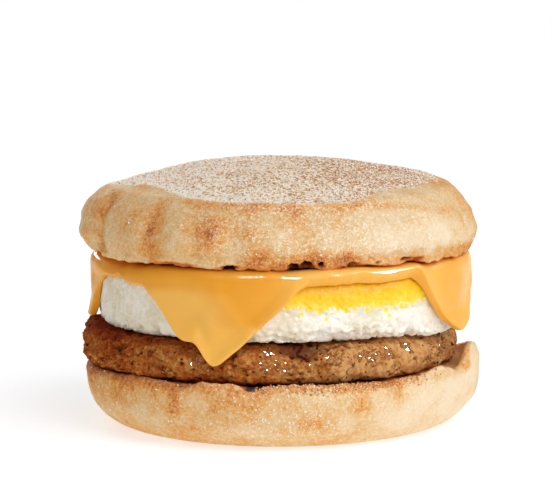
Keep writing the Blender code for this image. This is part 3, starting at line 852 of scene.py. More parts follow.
def paint_crown(crown, points, azimuth, radius, height, nook):
    """Where the crown is griddled, floured, toasted, torn and fuzzy, and where painted shade darkens its
    holes and underside.
    """
    # The underside is painted dark where it meets the cheese: toasted crumb, and painted shade in the gap
    # under the crust
    under = ease(CROWN_CUT_Z + 1.0 * MM, CROWN_CUT_Z + 0.2 * MM, height) * ease(46.9 * MM, 46.2 * MM, radius)
    under *= 0.24 + 0.45 * crags(points, 2.5 * MM, 3, 20)
    # The griddled face ends at a crisp edge in front, and further in at the left and the right
    ragged = 0.5 * MM * crags(points, 5 * MM, 3, 5) + 0.3 * MM * crags(points, 1.5 * MM, 2, 6)
    face_radius = GRIDDLE_RADIUS - sum_of_bumps(azimuth, GRIDDLE_RETREATS)
    face_radius -= 3.6 * MM * ease(22, 42, azimuth) * ease(160, 110, azimuth)
    inwards = face_radius - radius - ragged
    crisp = 0.35 * MM + 0.9 * MM * bump_at(azimuth, 75, 40)
    griddle = ease(-crisp, crisp, inwards) * ease(50 * MM, 53 * MM, height)
    # Flour lies thickest by the edge, and the middle right was griddled browner
    seared = hump(np.hypot(points[:, 0] - 20 * MM, 0.7 * points[:, 1] + 2 * MM), 0, 17 * MM)
    by_edge = ease(5 * MM, 0, inwards) * bump_at(azimuth, -40, 50)
    flour = 0.5 + 0.16 * crags(points, 7 * MM, 4, 16) + 0.25 * by_edge
    flour += 0.14 - 0.34 * seared + 0.10 * bump_at(azimuth, -60, 60)
    upper = ease(40 * MM, 42 * MM, radius) * ease(50 * MM, 53 * MM, height)
    under_rim = upper * ease(3.6 * MM, 0.2 * MM, -inwards)
    toast = 0.17 + 0.15 * crags(points, 9 * MM, 4, 17) + 0.05 * crags(points, 2.2 * MM, 3, 18)
    marked = marks_on(azimuth, height, CROWN_MARKS)
    # Broad browning, partly painted shade at the left, and the toasted marks
    toast += sum_of_bumps(azimuth, CROWN_TOAST_AND_SHADE) + 0.85 * marked
    toast -= 0.12 * bump_at(azimuth, 45, 32) * ease(53 * MM, 50 * MM, height)
    toast += under_rim * sum_of_bumps(azimuth, UNDER_RIM_TOAST)
    toast += 0.16 * upper * bump_at(azimuth, -75, 22)
    # The lower edge is toasted most in front and at the right
    wavy = height + 0.9 * MM * crags(points, 3 * MM, 2, 9)
    low = ease(CROWN_CUT_Z + 4.6 * MM, CROWN_CUT_Z + 1.3 * MM, wavy)
    toast += 0.38 * low * ease(-12, 0, azimuth) * ease(110, 80, azimuth)
    toast -= 0.04 * low * bump_at(azimuth, -35, 20)
    # At the right the side is flattened, and a faint tan line runs along the upper end of the flat
    line_z = CROWN_RIM_Z - 0.6 * MM - 2.0 * MM * ease(35, 62, azimuth)
    line = hump(height, line_z, 0.9 * MM) * ease(12, 22, azimuth) * ease(68, 60, azimuth)
    corner = bump_at(azimuth, 66, 2.5) * ease(46 * MM, 49 * MM, height) * ease(54.5 * MM, 53 * MM, height)
    toast += 0.20 * np.maximum(line, corner)
    toast *= 1 + 0.3 * crags(points, 3 * MM, 3, 8)
    toast += 0.06 * crags(points, 3.5 * MM, 4, 15)
    crumb = ease(CROWN_CUT_Z + 0.8 * MM, CROWN_CUT_Z + 0.3 * MM, wavy) * ease(46.6 * MM, 45.8 * MM, radius)
    for name, share in (("griddle", griddle), ("flour", flour), ("toast", toast), ("crumb", crumb)):
        paint(crown, name, share)
    # The front is the fuzziest
    fuzzy = 0.25 + 0.75 * bump_at(azimuth, 12, 34) + 0.3 * crags(points, 6 * MM, 3, 19)
    paint(crown, "fuzzy", fuzzy * (1 - 0.7 * low) * (1 - np.minimum(0.6, marked)))
    # Painted shade: the holes and the underside are painted dark, with toasted orange round them
    paint(crown, "hollow", np.maximum(nook, under))


def heel_lip(azimuth):
    """How far the heel's edge stands up."""
    start, top, end, rise = HEEL_LIP
    return rise * ease(start, top, azimuth) * ease(end, top, azimuth)


def heel_form():
    """The muffin's lower half: a flat griddled foot, a round side and a torn rim, curled up at the right."""
    side_round = 12.4 * MM
    foot_radius = HEEL_RADIUS - side_round
    rim_z = HEEL_CUT_Z + 1.4 * MM
    seat_radius = 44.6 * MM
    angles = [math.radians(-8 - 82 * i / 12) for i in range(13)]
    side = [
        (foot_radius + side_round * math.cos(a), side_round + side_round * math.sin(a), 0.4 * MM)
        for a in angles
    ]
    profile = dense_line(
        [
            (0, HEEL_CUT_Z, 9 * MM),
            (0.8 * seat_radius, HEEL_CUT_Z, 1 * MM),
            (seat_radius, HEEL_CUT_Z + 0.1 * MM, 0.3 * MM),
            (HEEL_RADIUS - 2.3 * MM, rim_z - 0.35 * MM, 0.3 * MM),
            (HEEL_RADIUS - 1.4 * MM, rim_z, 0.3 * MM),
            (HEEL_RADIUS - 0.5 * MM, rim_z - 0.7 * MM, 0.3 * MM),
            (HEEL_RADIUS, rim_z - 2.2 * MM, 0.4 * MM),
            *side[:-1],
            (foot_radius, 0, 1.5 * MM),
            (0.8 * foot_radius, 0, 9 * MM),
            (0, 0, 9 * MM),
        ],
        rounds=3,
    )

    def place(azimuth, radius, height):
        wall = ease(0.72 * foot_radius, HEEL_RADIUS, radius)
        point = at_azimuth(azimuth, radius, height)
        torn = ease(seat_radius, HEEL_RADIUS - 2.3 * MM, radius)
        torn *= ease(11 * MM, HEEL_CUT_Z + 0.3 * MM, height)
        lip = heel_lip(azimuth)
        lift = torn * (lip - sum_of_bumps(azimuth, HEEL_NOOKS) + 0.45 * MM * crags(point, 5 * MM))
        lift = lift * (1 - 0.3 * ease(HEEL_RADIUS - 1.2 * MM, HEEL_RADIUS - 0.2 * MM, radius))
        side_share = ease(0, 6 * MM, height) * ease(seat_radius + 1 * MM, HEEL_RADIUS - 1 * MM, radius)
        relief = side_share * (0.5 * MM * crags(point, 14 * MM) + 0.15 * lip)
        reach = radius * (1 + wall * (outline(azimuth, HEEL_LOBES) - 1))
        return at_azimuth(azimuth, reach + relief, height + lift)

    heel = turned_form("muffin_heel_crust", profile, HEEL_COLUMNS, place, HEEL_AXIS)
    points = points_of(heel)
    azimuth, radius, height = polar_of(points, HEEL_AXIS)
    outer = ease(0.3 * MM, 2 * MM, height)
    rim = ease(13.2 * MM, 15.4 * MM, height - 0.8 * heel_lip(azimuth)) * ease(41 * MM, 44 * MM, radius)
    relief = outer * (0.14 * MM * crags(points, 4 * MM, 3, 11) + 0.05 * MM * crags(points, 1.4 * MM, 2, 12))
    relief -= rim * 0.45 * MM * np.clip(crags(points, 2.2 * MM, 3, 13) + 0.15, 0, 1)
    swell(heel, relief)
    paint_heel(heel, points, azimuth, radius, height, rim)
    return heel


def paint_heel(heel, points, azimuth, radius, height, rim):
    """Where the heel is griddled, floured, toasted, torn and fuzzy, and where painted shade darkens its nooks
    and the rim's inner side.
    """
    lip = heel_lip(azimuth)
    toast = 0.18 + 0.18 * crags(points, 8 * MM, 4, 16) + 0.05 * crags(points, 2.2 * MM, 3, 17)
    toast += 0.9 * marks_on(azimuth, height, HEEL_MARKS) + sum_of_bumps(azimuth, HEEL_TOAST)
    # Fat has soaked into the crumb where it curls up beside the meat
    inward = ease(46.0 * MM, 45.2 * MM, points[:, 0])
    soaked = inward * ease(14.0 * MM, 15.6 * MM, height) * ease(62, 67, azimuth) * ease(130, 110, azimuth)
    near_rim = ease(8.5 * MM, 15 * MM, height - 0.9 * lip + 1.2 * MM * crags(points, 5 * MM, 3, 18))
    toast += near_rim * sum_of_bumps(azimuth, NEAR_RIM_TOAST)
    # The rim is toasted in grains at the front right, and hardly at all where it curls up
    grainy = ease(13.0 * MM, 15.4 * MM, height - 0.8 * lip) * bump_at(azimuth, 24, 26)
    toast += grainy * (0.26 + 0.5 * crags(points, 2.2 * MM, 3, 19)) + 0.16 * ease(5 * MM, 1 * MM, height)
    toast += rim * sum_of_bumps(azimuth, RIM_TOAST)
    toast *= 1 + 0.3 * crags(points, 3 * MM, 3, 14)
    toast += 0.06 * crags(points, 3.5 * MM, 4, 21)
    toast += soaked * np.maximum(0, 0.46 + 0.08 * crags(points, 2 * MM, 3, 23) - toast)
    inside = ease(46.4 * MM, 45.4 * MM, radius) * ease(13 * MM, 14.5 * MM, height)
    hollow = sum_of_bumps(azimuth, HEEL_NOOK_TOAST_AND_SHADE)
    hollow = hollow * ease(12.8 * MM, 13.8 * MM, height) * ease(47.5 * MM, 46.3 * MM, radius)
    # The rim's inner side is painted dark in front, as painted shade
    behind = ease(46.3 * MM, 45.5 * MM, radius) * ease(13 * MM, 14 * MM, height)
    hollow += 0.75 * bump_at(azimuth, 14, 20) * behind
    paint(heel, "fuzzy", 0.12 + 0.25 * bump_at(azimuth, 5, 40) + 0.25 * crags(points, 6 * MM, 3, 22))
    paint(heel, "griddle", ease(1.2 * MM, 0.3 * MM, height) * ease(36.5 * MM, 34.5 * MM, radius))
    paint(heel, "flour", 0.45 + 0.16 * crags(points, 7 * MM, 4, 20))
    paint(heel, "toast", toast)
    paint(heel, "crumb", inside * (1 - 0.8 * soaked))
    paint(heel, "hollow", hollow)


def patty_form():
    """The sausage: a flat pressed round whose side is folded, pitted and lumpy."""
    thickness = PATTY_TOP_Z - PATTY_BOTTOM_Z
    middle_z = (PATTY_TOP_Z + PATTY_BOTTOM_Z) / 2
    edge_round = 3.2 * MM
    profile = dense_line(
        [
            (0, PATTY_TOP_Z, 9 * MM),
            (0.78 * PATTY_RADIUS, PATTY_TOP_Z, 0.5 * MM),
            (PATTY_RADIUS - 1.6 * edge_round, PATTY_TOP_Z, 0.3 * MM),
            (PATTY_RADIUS - 0.75 * edge_round, PATTY_TOP_Z - 0.10 * thickness, 0.28 * MM),
            (PATTY_RADIUS - 0.22 * edge_round, PATTY_TOP_Z - 0.26 * thickness, 0.28 * MM),
            (PATTY_RADIUS, middle_z, 0.28 * MM),
            (PATTY_RADIUS - 0.06 * edge_round, PATTY_BOTTOM_Z + 0.26 * thickness, 0.28 * MM),
            (PATTY_RADIUS - 0.32 * edge_round, PATTY_BOTTOM_Z + 0.10 * thickness, 0.35 * MM),
            (PATTY_RADIUS - 0.8 * edge_round, PATTY_BOTTOM_Z + 0.02 * thickness, 0.5 * MM),
            (PATTY_RADIUS - 1.5 * edge_round, PATTY_BOTTOM_Z, 9 * MM),
            (0, PATTY_BOTTOM_Z, 9 * MM),
        ],
        rounds=4,
    )

    def place(azimuth, radius, height):
        wall = ease(0.7 * PATTY_RADIUS, PATTY_RADIUS - edge_round, radius)
        point = at_azimuth(azimuth, radius, height)
        dent = PATTY_DENT[2] * bump_at(azimuth, *PATTY_DENT[:2])
        lump = 0.9 * MM * np.minimum(0.25, crags(point, 6 * MM))
        side = ease(PATTY_RADIUS - 1.55 * edge_round, PATTY_RADIUS - 0.8 * edge_round, radius)
        upper = ease(-0.3 * MM, 0.3 * MM, height - middle_z)
        sag = side * (2 * upper - 1) * 0.5 * MM * abs(crags(point, 4 * MM))
        sag = sag + side * upper * sum_of_bumps(azimuth, PATTY_SAGS)
        outermost = ease(PATTY_RADIUS - 1.4 * edge_round, PATTY_RADIUS - 0.9 * edge_round, radius) * upper
        sag = sag - 1.2 * MM * outermost * bump_at(azimuth, 24, 9)
        blunt = bump_at(azimuth, -86, 30)
        rounded = ease(PATTY_RADIUS - 1.5 * edge_round, PATTY_RADIUS - 0.4 * edge_round, radius)
        sag = sag - 1.2 * MM * blunt * upper * rounded
        # The right end is pressed flat
        reach = np.minimum(radius, PATTY_RADIUS - 1.2 * MM * bump_at(azimuth, 84, 24))
        reach = reach * (1 + wall * (outline(azimuth, PATTY_LOBES) - 1))
        return at_azimuth(azimuth, reach + wall * (lump - dent - 0.6 * MM * blunt), height - sag)

    patty = turned_form("sausage_patty_meat", profile, PATTY_COLUMNS, place, PATTY_AXIS)
    points = points_of(patty)
    azimuth, radius, height = polar_of(points, PATTY_AXIS)
    left = bump_at(azimuth, -85, 50)
    outer = ease(0.80 * PATTY_RADIUS, 0.88 * PATTY_RADIUS, radius)
    free = ease(43.0 * MM, 44.8 * MM, radius)
    relief, crevices, pits = meat_relief(points, left)
    swell(patty, outer * np.minimum(relief, (0.35 + 0.3 * free + 0.4 * free * left) * MM))
    paint_patty(patty, points, azimuth, radius, height, left, crevices, pits)
    return patty


def meat_relief(points, left):
    """The side's minced pieces, crevices and pits as heights over the smooth form, and the last two alone."""
    # Ground meat is rough at every size, rougher at the left, where it fried longest
    warped = points * np.array([1, 1, 1.6]) + 0.9 * MM * crags(points, 3 * MM, 3, 25)[:, None]
    pits = ease(0.28, 0.15, to_cell(warped, 2.6 * MM, 23)) * ease(-0.35, 0.1, crags(points, 7 * MM, 2, 22))
    # Crevices are long and wander along the side, where ridged noise is near nothing
    ridges = 1 - ease(0.0, 0.14, abs(crags(warped, 6.5 * MM, 3, 21)))
    crevices = ridges * ease(0.0, 0.3, crags(points, 8 * MM, 2, 26) + 0.25 * left)
    relief = (0.32 + 0.2 * left) * MM * crags(points, 2.6 * MM, 5, 24)
    relief += 0.4 * MM * crags(points, 7 * MM, 2, 29)
    fine = (0.20 + 0.25 * left) * MM * crags(points, 1.5 * MM, 4, 28)
    relief += fine - 0.45 * MM * crevices - 0.5 * MM * pits
    # Minced pieces stand out as small round knobs, most of all at the left
    relief += (0.15 + 1.2 * left) * MM * (0.45 - to_cell(warped, 2.7 * MM, 27))
    return relief, crevices, pits


def paint_patty(patty, points, azimuth, radius, height, left, crevices, pits):
    """Where the meat is pale, dark, reddish and wet with fat, and where painted shade darkens it."""
    # In front the meat has sunk away from the egg, and the gap between them is painted dark as shade
    sunk = bump_at(azimuth, 8, 11) * ease(44.6 * MM, 43.2 * MM, radius) * ease(20 * MM, 22 * MM, height)
    face = ease(22.8 * MM, 24.4 * MM, height)
    ends = ease(16.8 * MM, 15.4 * MM, height)
    tone = 0.50 + sum_of_bumps(azimuth, PATTY_TONES) - 0.14 * left + 0.22 * crags(points, 6 * MM, 4, 30)
    # The top edge is darker, and the lower edge by the heel is painted darker as shade
    tone -= 0.22 * face * (0.3 + left) + 0.2 * ends
    flush = ease(0.05, 0.4, crags(points, 1.3 * MM, 4, 31) + 0.3 * crevices + 0.25 * left + 0.3 * face)
    paint(patty, "tone", tone)
    # Painted shade in crevices and pits, along the lower edge and in the gap under the egg
    paint(patty, "crevice", 0.75 * crevices + 0.85 * pits + 0.35 * ends + 0.8 * sunk)
    paint(patty, "flush", 0.6 * flush * (1 - 0.4 * bump_at(azimuth, 50, 35)))
    dry = np.clip(crevices + pits + 1.5 * sunk + ends, 0, 1)
    run = marks_on(azimuth, height, FAT_RUNS) + 0.6 * crags(points, 2.0 * MM, 3, 32)
    paint(patty, "wet", (1 - dry) * ease(0.45, 0.75, run))


def egg_form(name):
    """A whole egg set in a ring: a flat puck with a rounded top edge, a pitted side and a ragged hem."""
    hem_z = EGG_BOTTOM_Z + 1.2 * MM
    turn = [math.radians(90 * i / 10) for i in range(11)]
    across = [EGG_RADIUS - EGG_EDGE_ROUND * (1 - math.sin(a)) for a in turn]
    down = [EGG_TOP_Z - EGG_EDGE_ROUND * (1 - math.cos(a)) for a in turn]
    shoulder = [(radius, height, 0.35 * MM) for radius, height in zip(across, down)]
    profile = dense_line(
        [
            (0, EGG_TOP_Z, 9 * MM),
            *shoulder,
            (EGG_RADIUS, hem_z + 1.2 * MM, 0.3 * MM),
            (EGG_RADIUS - 0.5 * MM, hem_z - 0.3 * MM, 0.3 * MM),
            (EGG_RADIUS - 1.6 * MM, EGG_BOTTOM_Z + 0.2 * MM, 0.4 * MM),
            (EGG_RADIUS - 3.0 * MM, EGG_BOTTOM_Z, 8 * MM),
            (0, EGG_BOTTOM_Z, 9 * MM),
        ],
        rounds=2,
    )

    def place(azimuth, radius, height):
        wall = ease(0.6 * EGG_RADIUS, EGG_RADIUS - EGG_EDGE_ROUND, radius)
        point = at_azimuth(azimuth, radius, height)
        fringe = ease(hem_z + 4 * MM, hem_z, height) * ease(EGG_RADIUS - 3 * MM, EGG_RADIUS - 1 * MM, radius)
        ragged = 0.5 * MM * (crags(point, 4 * MM) - 0.6) + 0.7 * MM * crags(point, 1.7 * MM, 3, 40)
        # It lies on the patty's lumps at the front right, and hangs over the patty's edge beyond them
        settled = ease(hem_z + 6 * MM, hem_z, height)
        settled *= ease(EGG_RADIUS - 3.5 * MM, EGG_RADIUS - 1.5 * MM, radius)
        lift = 0.8 * fringe * abs(ragged) + settled * sum_of_bumps(azimuth, EGG_LIFTS)
        reach = radius * (1 + wall * (outline(azimuth, EGG_LOBES) - 1))
        return at_azimuth(azimuth, reach + fringe * ragged, height + lift)

    egg = turned_form(name, profile, EGG_COLUMNS, place, EGG_AXIS)
    points = points_of(egg)
    azimuth, radius, height = polar_of(points, EGG_AXIS)
    outer = ease(0.88 * EGG_RADIUS, 0.95 * EGG_RADIUS, radius)
    # The ring left faint upright ripples at the left
    ripples = np.cos(np.radians(azimuth * 150) + 2.2 * crags(points, 9 * MM, 2, 31))
    ripples *= bump_at(azimuth, -55, 24)
    relief = 0.18 * MM * crags(points, 2.6 * MM, 3, 32) + 0.10 * MM * crags(points, 1.0 * MM, 3, 35)
    relief += 0.07 * MM * ripples
    pits = ease(0.30, 0.12, to_cell(points, 2.2 * MM, 33))
    relief -= 0.30 * MM * pits * ease(-0.1, 0.2, crags(points, 6 * MM))
    # The yolk's border is frothy
    frothy = hump(height_over_pool(points), 0, 1.6 * MM)
    relief -= 0.30 * MM * frothy * ease(0.42, 0.2, to_cell(points, 1.5 * MM, 36))
    ragged = ease(EGG_BOTTOM_Z + 3.5 * MM, EGG_BOTTOM_Z + 0.8 * MM, height)
    relief -= 1.3 * MM * ragged * np.clip(crags(points, 1.8 * MM, 4, 34) + 0.1, 0, 1)
    swell(egg, outer * relief)
    return egg


def paint_egg(obj):
    """Where an egg piece is yolk, how rich, where it has bubbles, and where the white is dense."""
    points = points_of(obj)
    over = height_over_pool(points)
    # Near the border the yolk broke into drops and rings
    nearness = ease(2.8 * MM, 0.8 * MM, abs(over + 0.2 * MM))
    cell = to_cell(points, 2.3 * MM, 38)
    drops = 0.6 * ease(0.36, 0.26, cell) * ease(-0.3, -0.1, crags(points, 5 * MM, 2, 39))
    border = 0.5 + over / (6 * MM) + nearness * (0.16 * crags(points, 1.6 * MM, 3, 40) + drops - 0.06)
    ring = ease(0.13, 0.05, abs(cell - 0.40)) * nearness
    paint(obj, "over", border - 0.26 * ring)
    paint(obj, "depth", over / (6 * MM) + 0.2 * crags(points, 3 * MM, 3, 43))
    paint(obj, "bubble", 0.8 * ring * ease(-0.3, 0.3, crags(points, 4 * MM, 2, 44)))
    paint(obj, "cloud", 0.5 + 0.7 * crags(points, 7 * MM, 3, 45))


def yolk_pool(grow):
    """The space the yolk fills, with a frothy lower surface, made larger all round by grow."""
    radius = YOLK_RADIUS + grow
    floor_z = EGG_TOP_Z - YOLK_DEPTH - grow
    over_z = EGG_TOP_Z + 2 * MM
    profile = dense_line(
        [
            (0, over_z, 9 * MM),
            (radius, over_z, 1.5 * MM),
            (radius, EGG_TOP_Z - 0.10 * YOLK_DEPTH, 0.6 * MM),
            (radius - 1.2 * MM, EGG_TOP_Z - 0.45 * YOLK_DEPTH - grow, 0.6 * MM),
            (radius - 4.5 * MM, EGG_TOP_Z - 0.80 * YOLK_DEPTH - grow, 0.6 * MM),
            (radius - 10 * MM, floor_z, 0.6 * MM),
            (radius - 22 * MM, floor_z, 6 * MM),
            (0, floor_z, 9 * MM),
        ],
        rounds=2,
    )
    pool = turned_form("yolk_pool", profile, POOL_COLUMNS, at_azimuth, POOL_AXIS)
    points = points_of(pool)
    low = ease(EGG_TOP_Z - 0.2 * YOLK_DEPTH, EGG_TOP_Z - 0.7 * YOLK_DEPTH, points[:, 2])
    froth = 0.45 * MM * crags(points, 3 * MM, 3, 41)
    froth += 0.5 * MM * ease(0.45, 0.2, to_cell(points * np.array([1, 1, 0.3]), 3.0 * MM, 42))
    points[:, 2] -= low * froth
    pool.data.vertices.foreach_set("co", points.reshape(-1))
    pool.data.update()
    return pool


def cut_with(obj, operation, tool):
    """One Boolean, applied to obj's mesh; the tool is then removed."""
    step = obj.modifiers.new("Cut", "BOOLEAN")
    step.operation = operation
    step.object = tool
    step.solver = "EXACT"
    graph = bpy.context.evaluated_depsgraph_get()
    mesh = bpy.data.meshes.new_from_object(obj.evaluated_get(graph))
    obj.modifiers.clear()
    obj.data = mesh
    bpy.data.objects.remove(tool, do_unlink=True)


def height_over_pool(points):
    """How far above the pool's lower surface each point is, for the stains at its border."""
    out = np.hypot(points[:, 0] - POOL_AXIS[0], points[:, 1] - POOL_AXIS[1])
    inset = [YOLK_RADIUS - out_by * MM for out_by in (10, 4.5, 1.2, 0, -1)]
    depth = np.interp(out, [0, *inset], [YOLK_DEPTH * share for share in (1, 1, 0.8, 0.45, 0.1, -0.5)])
    return points[:, 2] - (EGG_TOP_Z - depth)


def cheese_drop(azimuth):
    """How far the cheese hangs below its own upper face."""
    total = CHEESE_EDGE_DROP + sum_of_bumps(azimuth, CHEESE_BULGES)
    for tip, depth, back, on in CHEESE_FLAPS:
        turn = turn_from(tip, azimuth)
        share = abs(turn) / np.where(turn < 0, back, on)
        fall = np.hypot(share, CHEESE_FLAP_ROUND) - CHEESE_FLAP_ROUND
        total = total + depth * 0.5 * (1 - fall + np.hypot(1 - fall, CHEESE_FLAP_ROUND))
    return total


def cheese_form():
    """A slice melted over the egg: flat on top, bent round its edge and hanging in four corners."""
    bend = EGG_EDGE_ROUND + CLEARANCE
    bend_length = bend * math.pi / 2
    # The profile goes by steps, from 0 at the axis, and by layer, which is 0 inside and 1 outside
    bend_from = 2.0
    bend_steps = 22
    hang_steps = 44
    hem = bend_from + bend_steps + hang_steps
    outer_face = [(0, 1), (1.5, 1)] + [(bend_from + i, 1) for i in range(bend_steps + hang_steps + 1)]
    turn = [math.radians(90 - 180 * i / 9) for i in range(1, 9)]
    rounded_hem = [(hem + 2 * math.cos(a), 0.5 + 0.5 * math.sin(a)) for a in turn]
    inner_face = [(hem - 3 * i, 0) for i in range(int((hem - bend_from) / 3) + 1)] + [(1.5, 0), (0, 0)]

    def place(azimuth, step, layer):
        flat_length = EGG_RADIUS * outline(azimuth, EGG_LOBES) + CLEARANCE - bend
        # At the left the edge has sunk into the egg, so it is thin and wanders
        sunk = bump_at(azimuth, -57, 17)
        wander = 0.7 * MM * crags(at_azimuth(azimuth, EGG_RADIUS, 0 * azimuth), 5 * MM, 3, 53) * (0.35 + sunk)
        fall = cheese_drop(azimuth) - CHEESE_THICKNESS - CHEESE_HEM + wander
        length = bend * np.arccos(np.maximum(0, 1 - fall / bend)) + np.maximum(0, fall - bend)
        bent_length = np.minimum(bend_length, length * bend_steps / (bend_steps + hang_steps))
        bend_share = np.clip((step - bend_from) / bend_steps, 0, 1)
        hang_share = np.clip((step - bend_from - bend_steps) / hang_steps, 0, 1)
        travel = bent_length * bend_share + (length - bent_length) * hang_share
        angle = np.minimum(travel / bend, math.pi / 2)
        down = np.maximum(0, travel - bend_length) + CHEESE_HEM * np.maximum(0, step - hem) / 2
        outwards = flat_length * np.minimum(1, step / bend_from) + bend * np.sin(angle) + down * np.cos(angle)
        height = CHEESE_UNDER_Z - bend * (1 - np.cos(angle)) - down * np.sin(angle)
        point = at_azimuth(azimuth, outwards, height)
        # The melt has run down: full round the bend, thin below it, full again in a bead along the hem
        to_hem = length - travel
        swollen = 0.88 * hump(angle, 0.76, 0.38) * (1 - 0.5 * sunk)
        bead = 0.16 * hump(to_hem, 0, 1.6 * MM) - 0.16 * hump(to_hem, 4.5 * MM, 2.5 * MM)
        bead = bead * (1 - sunk) - 0.60 * sunk * hump(to_hem, 0, 3.2 * MM)
        ripple = 0.16 * crags(point, 9 * MM, 2, 51) + 0.05 * crags(point, 3.2 * MM, 2, 54)
        ripple = ripple * ease(0.5, 1.0, bend_share)
        dip = -0.30 * hump(azimuth, -25.5, 4) * hump(height, 31 * MM, 2.2 * MM)
        aslant = azimuth + 15 + 1.1 * (height / MM - 34)
        fold = 0.22 * hump(aslant, 0, 3.5) * ease(40 * MM, 36 * MM, height)
        thin = -0.4 * bump_at(azimuth, -73, 6) * ease(1.0, 1.4, angle)
        thickness = CHEESE_THICKNESS * (1 + swollen + bead + ripple + dip + fold + thin) * layer
        outwards = outwards + thickness * np.sin(angle)
        height = height + thickness * np.cos(angle)
        flare = CHEESE_FLARE * ease(EGG_BOTTOM_Z + 5 * MM, PATTY_TOP_Z, height)
        return at_azimuth(azimuth, outwards + flare, height)

    profile = np.array(outer_face + rounded_hem + inner_face, float)
    cheese = turned_form("cheese_slice_melt", profile, CHEESE_COLUMNS, place, EGG_AXIS)
    points = points_of(cheese)
    azimuth, _, height = polar_of(points, EGG_AXIS)
    # Painted shade deepens the melt's colour down one side of the front corner, where a fold turns from the
    # light, along the bend under the crown at the left, and on the left corner; it is deeper also on the
    # right corner and at random
    thick = 0.9 * bump_at(azimuth, -8, 9) * ease(26 * MM, 31 * MM, height)
    thick += 0.9 * bump_at(azimuth, -38, 20) * ease(35.5 * MM, 38.5 * MM, height)
    thick += 0.8 * bump_at(azimuth, -80, 24) + 0.4 * bump_at(azimuth, 66, 20)
    paint(cheese, "thick", 0.1 + thick + 0.3 * crags(points, 12 * MM, 2, 54))
    return cheese


def scattered_grains(name, host, chances, least_tone, count, size):
    """Joined little grains standing on the host's surface, thicker where the chances are higher.

    Each has a tone from its point's least_tone to 1, which its material turns into a colour.
    """
    rng = np.random.default_rng(GRAIN_SEEDS[name])
    points = points_of(host)
    normals = normals_of(host)
    count = min(count, int((chances > 0).sum()))
    spots = rng.choice(len(points), count, replace=False, p=chances / chances.sum())
    # A grain has six corners and eight sides, and is turned, sized and drawn out by chance
    corners = np.array([(1, 0, 0), (-1, 0, 0), (0, 1, 0), (0, -1, 0), (0, 0, 1), (0, 0, -1)], float)
    sides = [(0, 2, 4), (2, 1, 4), (1, 3, 4), (3, 0, 4), (2, 0, 5), (1, 2, 5), (3, 1, 5), (0, 3, 5)]
    verts = []
    faces = []
    for i, spot in enumerate(spots):
        turn = np.linalg.qr(rng.normal(size=(3, 3)))[0]
        scale = size * rng.uniform(*GRAIN_SIZES) * rng.uniform(*GRAIN_STRETCH, 3)
        jitter = rng.normal(0, GRAIN_JITTER, 3)
        jitter -= normals[spot] * jitter.dot(normals[spot])
        middle = points[spot] + jitter + normals[spot] * size * GRAIN_STANDS
        verts.append(corners * scale @ turn.T + middle)
        first = len(corners) * i
        faces += [(first + a, first + b, first + c) for a, b, c in sides]
    mesh = bpy.data.meshes.new(name)
    mesh.from_pydata(np.concatenate(verts).tolist(), [], faces)
    mesh.shade_smooth()
    grains = placed(name, mesh)
    low = np.broadcast_to(least_tone, len(points))[spots]
    tones = low + (1 - low) * rng.uniform(0, 1, len(spots))
    paint(grains, "tone", np.repeat(tones, len(corners)))
    return grains


# Settings that a user would change


def colour_property(name, description, default):
    """A colour shown in the panel and kept as sRGB hex text."""
    return bpy.props.StringProperty(name=name, description=description, default=default, maxlen=7)


def length_property(name, description, default):
    """A length, which the panel shows in the scene's unit."""
    return bpy.props.FloatProperty(
        name=name, description=description, default=default, min=0, unit="LENGTH"
    )


def power_property(name, description, default):
    """The power of a lamp that is only there to be reflected."""
    return bpy.props.FloatProperty(
        name=name, description=description, default=default, min=0, unit="POWER"
    )


class MuffinLook(bpy.types.PropertyGroup):
    """Colours and dusting of the two muffin halves."""

    pale: colour_property("Pale crust", "Crust that the heat hardly reached", "#F2DBB9")
    fibre: colour_property("Crust fibres", "Dry fibres and tips that stay pale on toasted crust", "#FFEFD0")
    cream: colour_property("Cream crust", "Most of the muffin's side", "#E6BF86")
    golden: colour_property("Golden crust", "Lightly toasted crust", "#E3A04C")
    toasted: colour_property("Toasted crust", "Well toasted crust", "#D27A24")
    scorched: colour_property("Scorched crust", "The darkest toasting, along torn edges", "#A0501A")
    torn: colour_property("Torn edge", "Crumb toasted orange along the torn edge", "#D87528")
    # Painted shade: the darkest colour in holes and gaps of the torn edges
    hollow: colour_property("Torn hollows", "Deep holes in the torn edge", "#330A03")
    flour: colour_property("Flour", "Semolina and flour on the griddled face", "#FFF6EA")
    semolina: colour_property("Semolina", "Loose pale grains on the crust", "#FFF8EC")
    griddle_light: colour_property("Light griddled crust", "Griddled face under thin flour", "#EDCFA6")
    griddle_tan: colour_property("Griddled tan", "Griddled face between the flour", "#D49F66")
    griddle_brown: colour_property("Griddled brown", "Darkest specks of the griddled face", "#A86428")
    grain_count: bpy.props.IntProperty(
        name="Semolina grains", description="Loose grains on the crown", default=10000, min=100, max=20000
    )
    crumb_count: bpy.props.IntProperty(
        name="Crumbs", description="Loose crumbs along the heel's torn edge", default=700, min=100, max=10000
    )
    grain_size: length_property("Grain size", "Half the width of a semolina grain", 0.23 * MM)


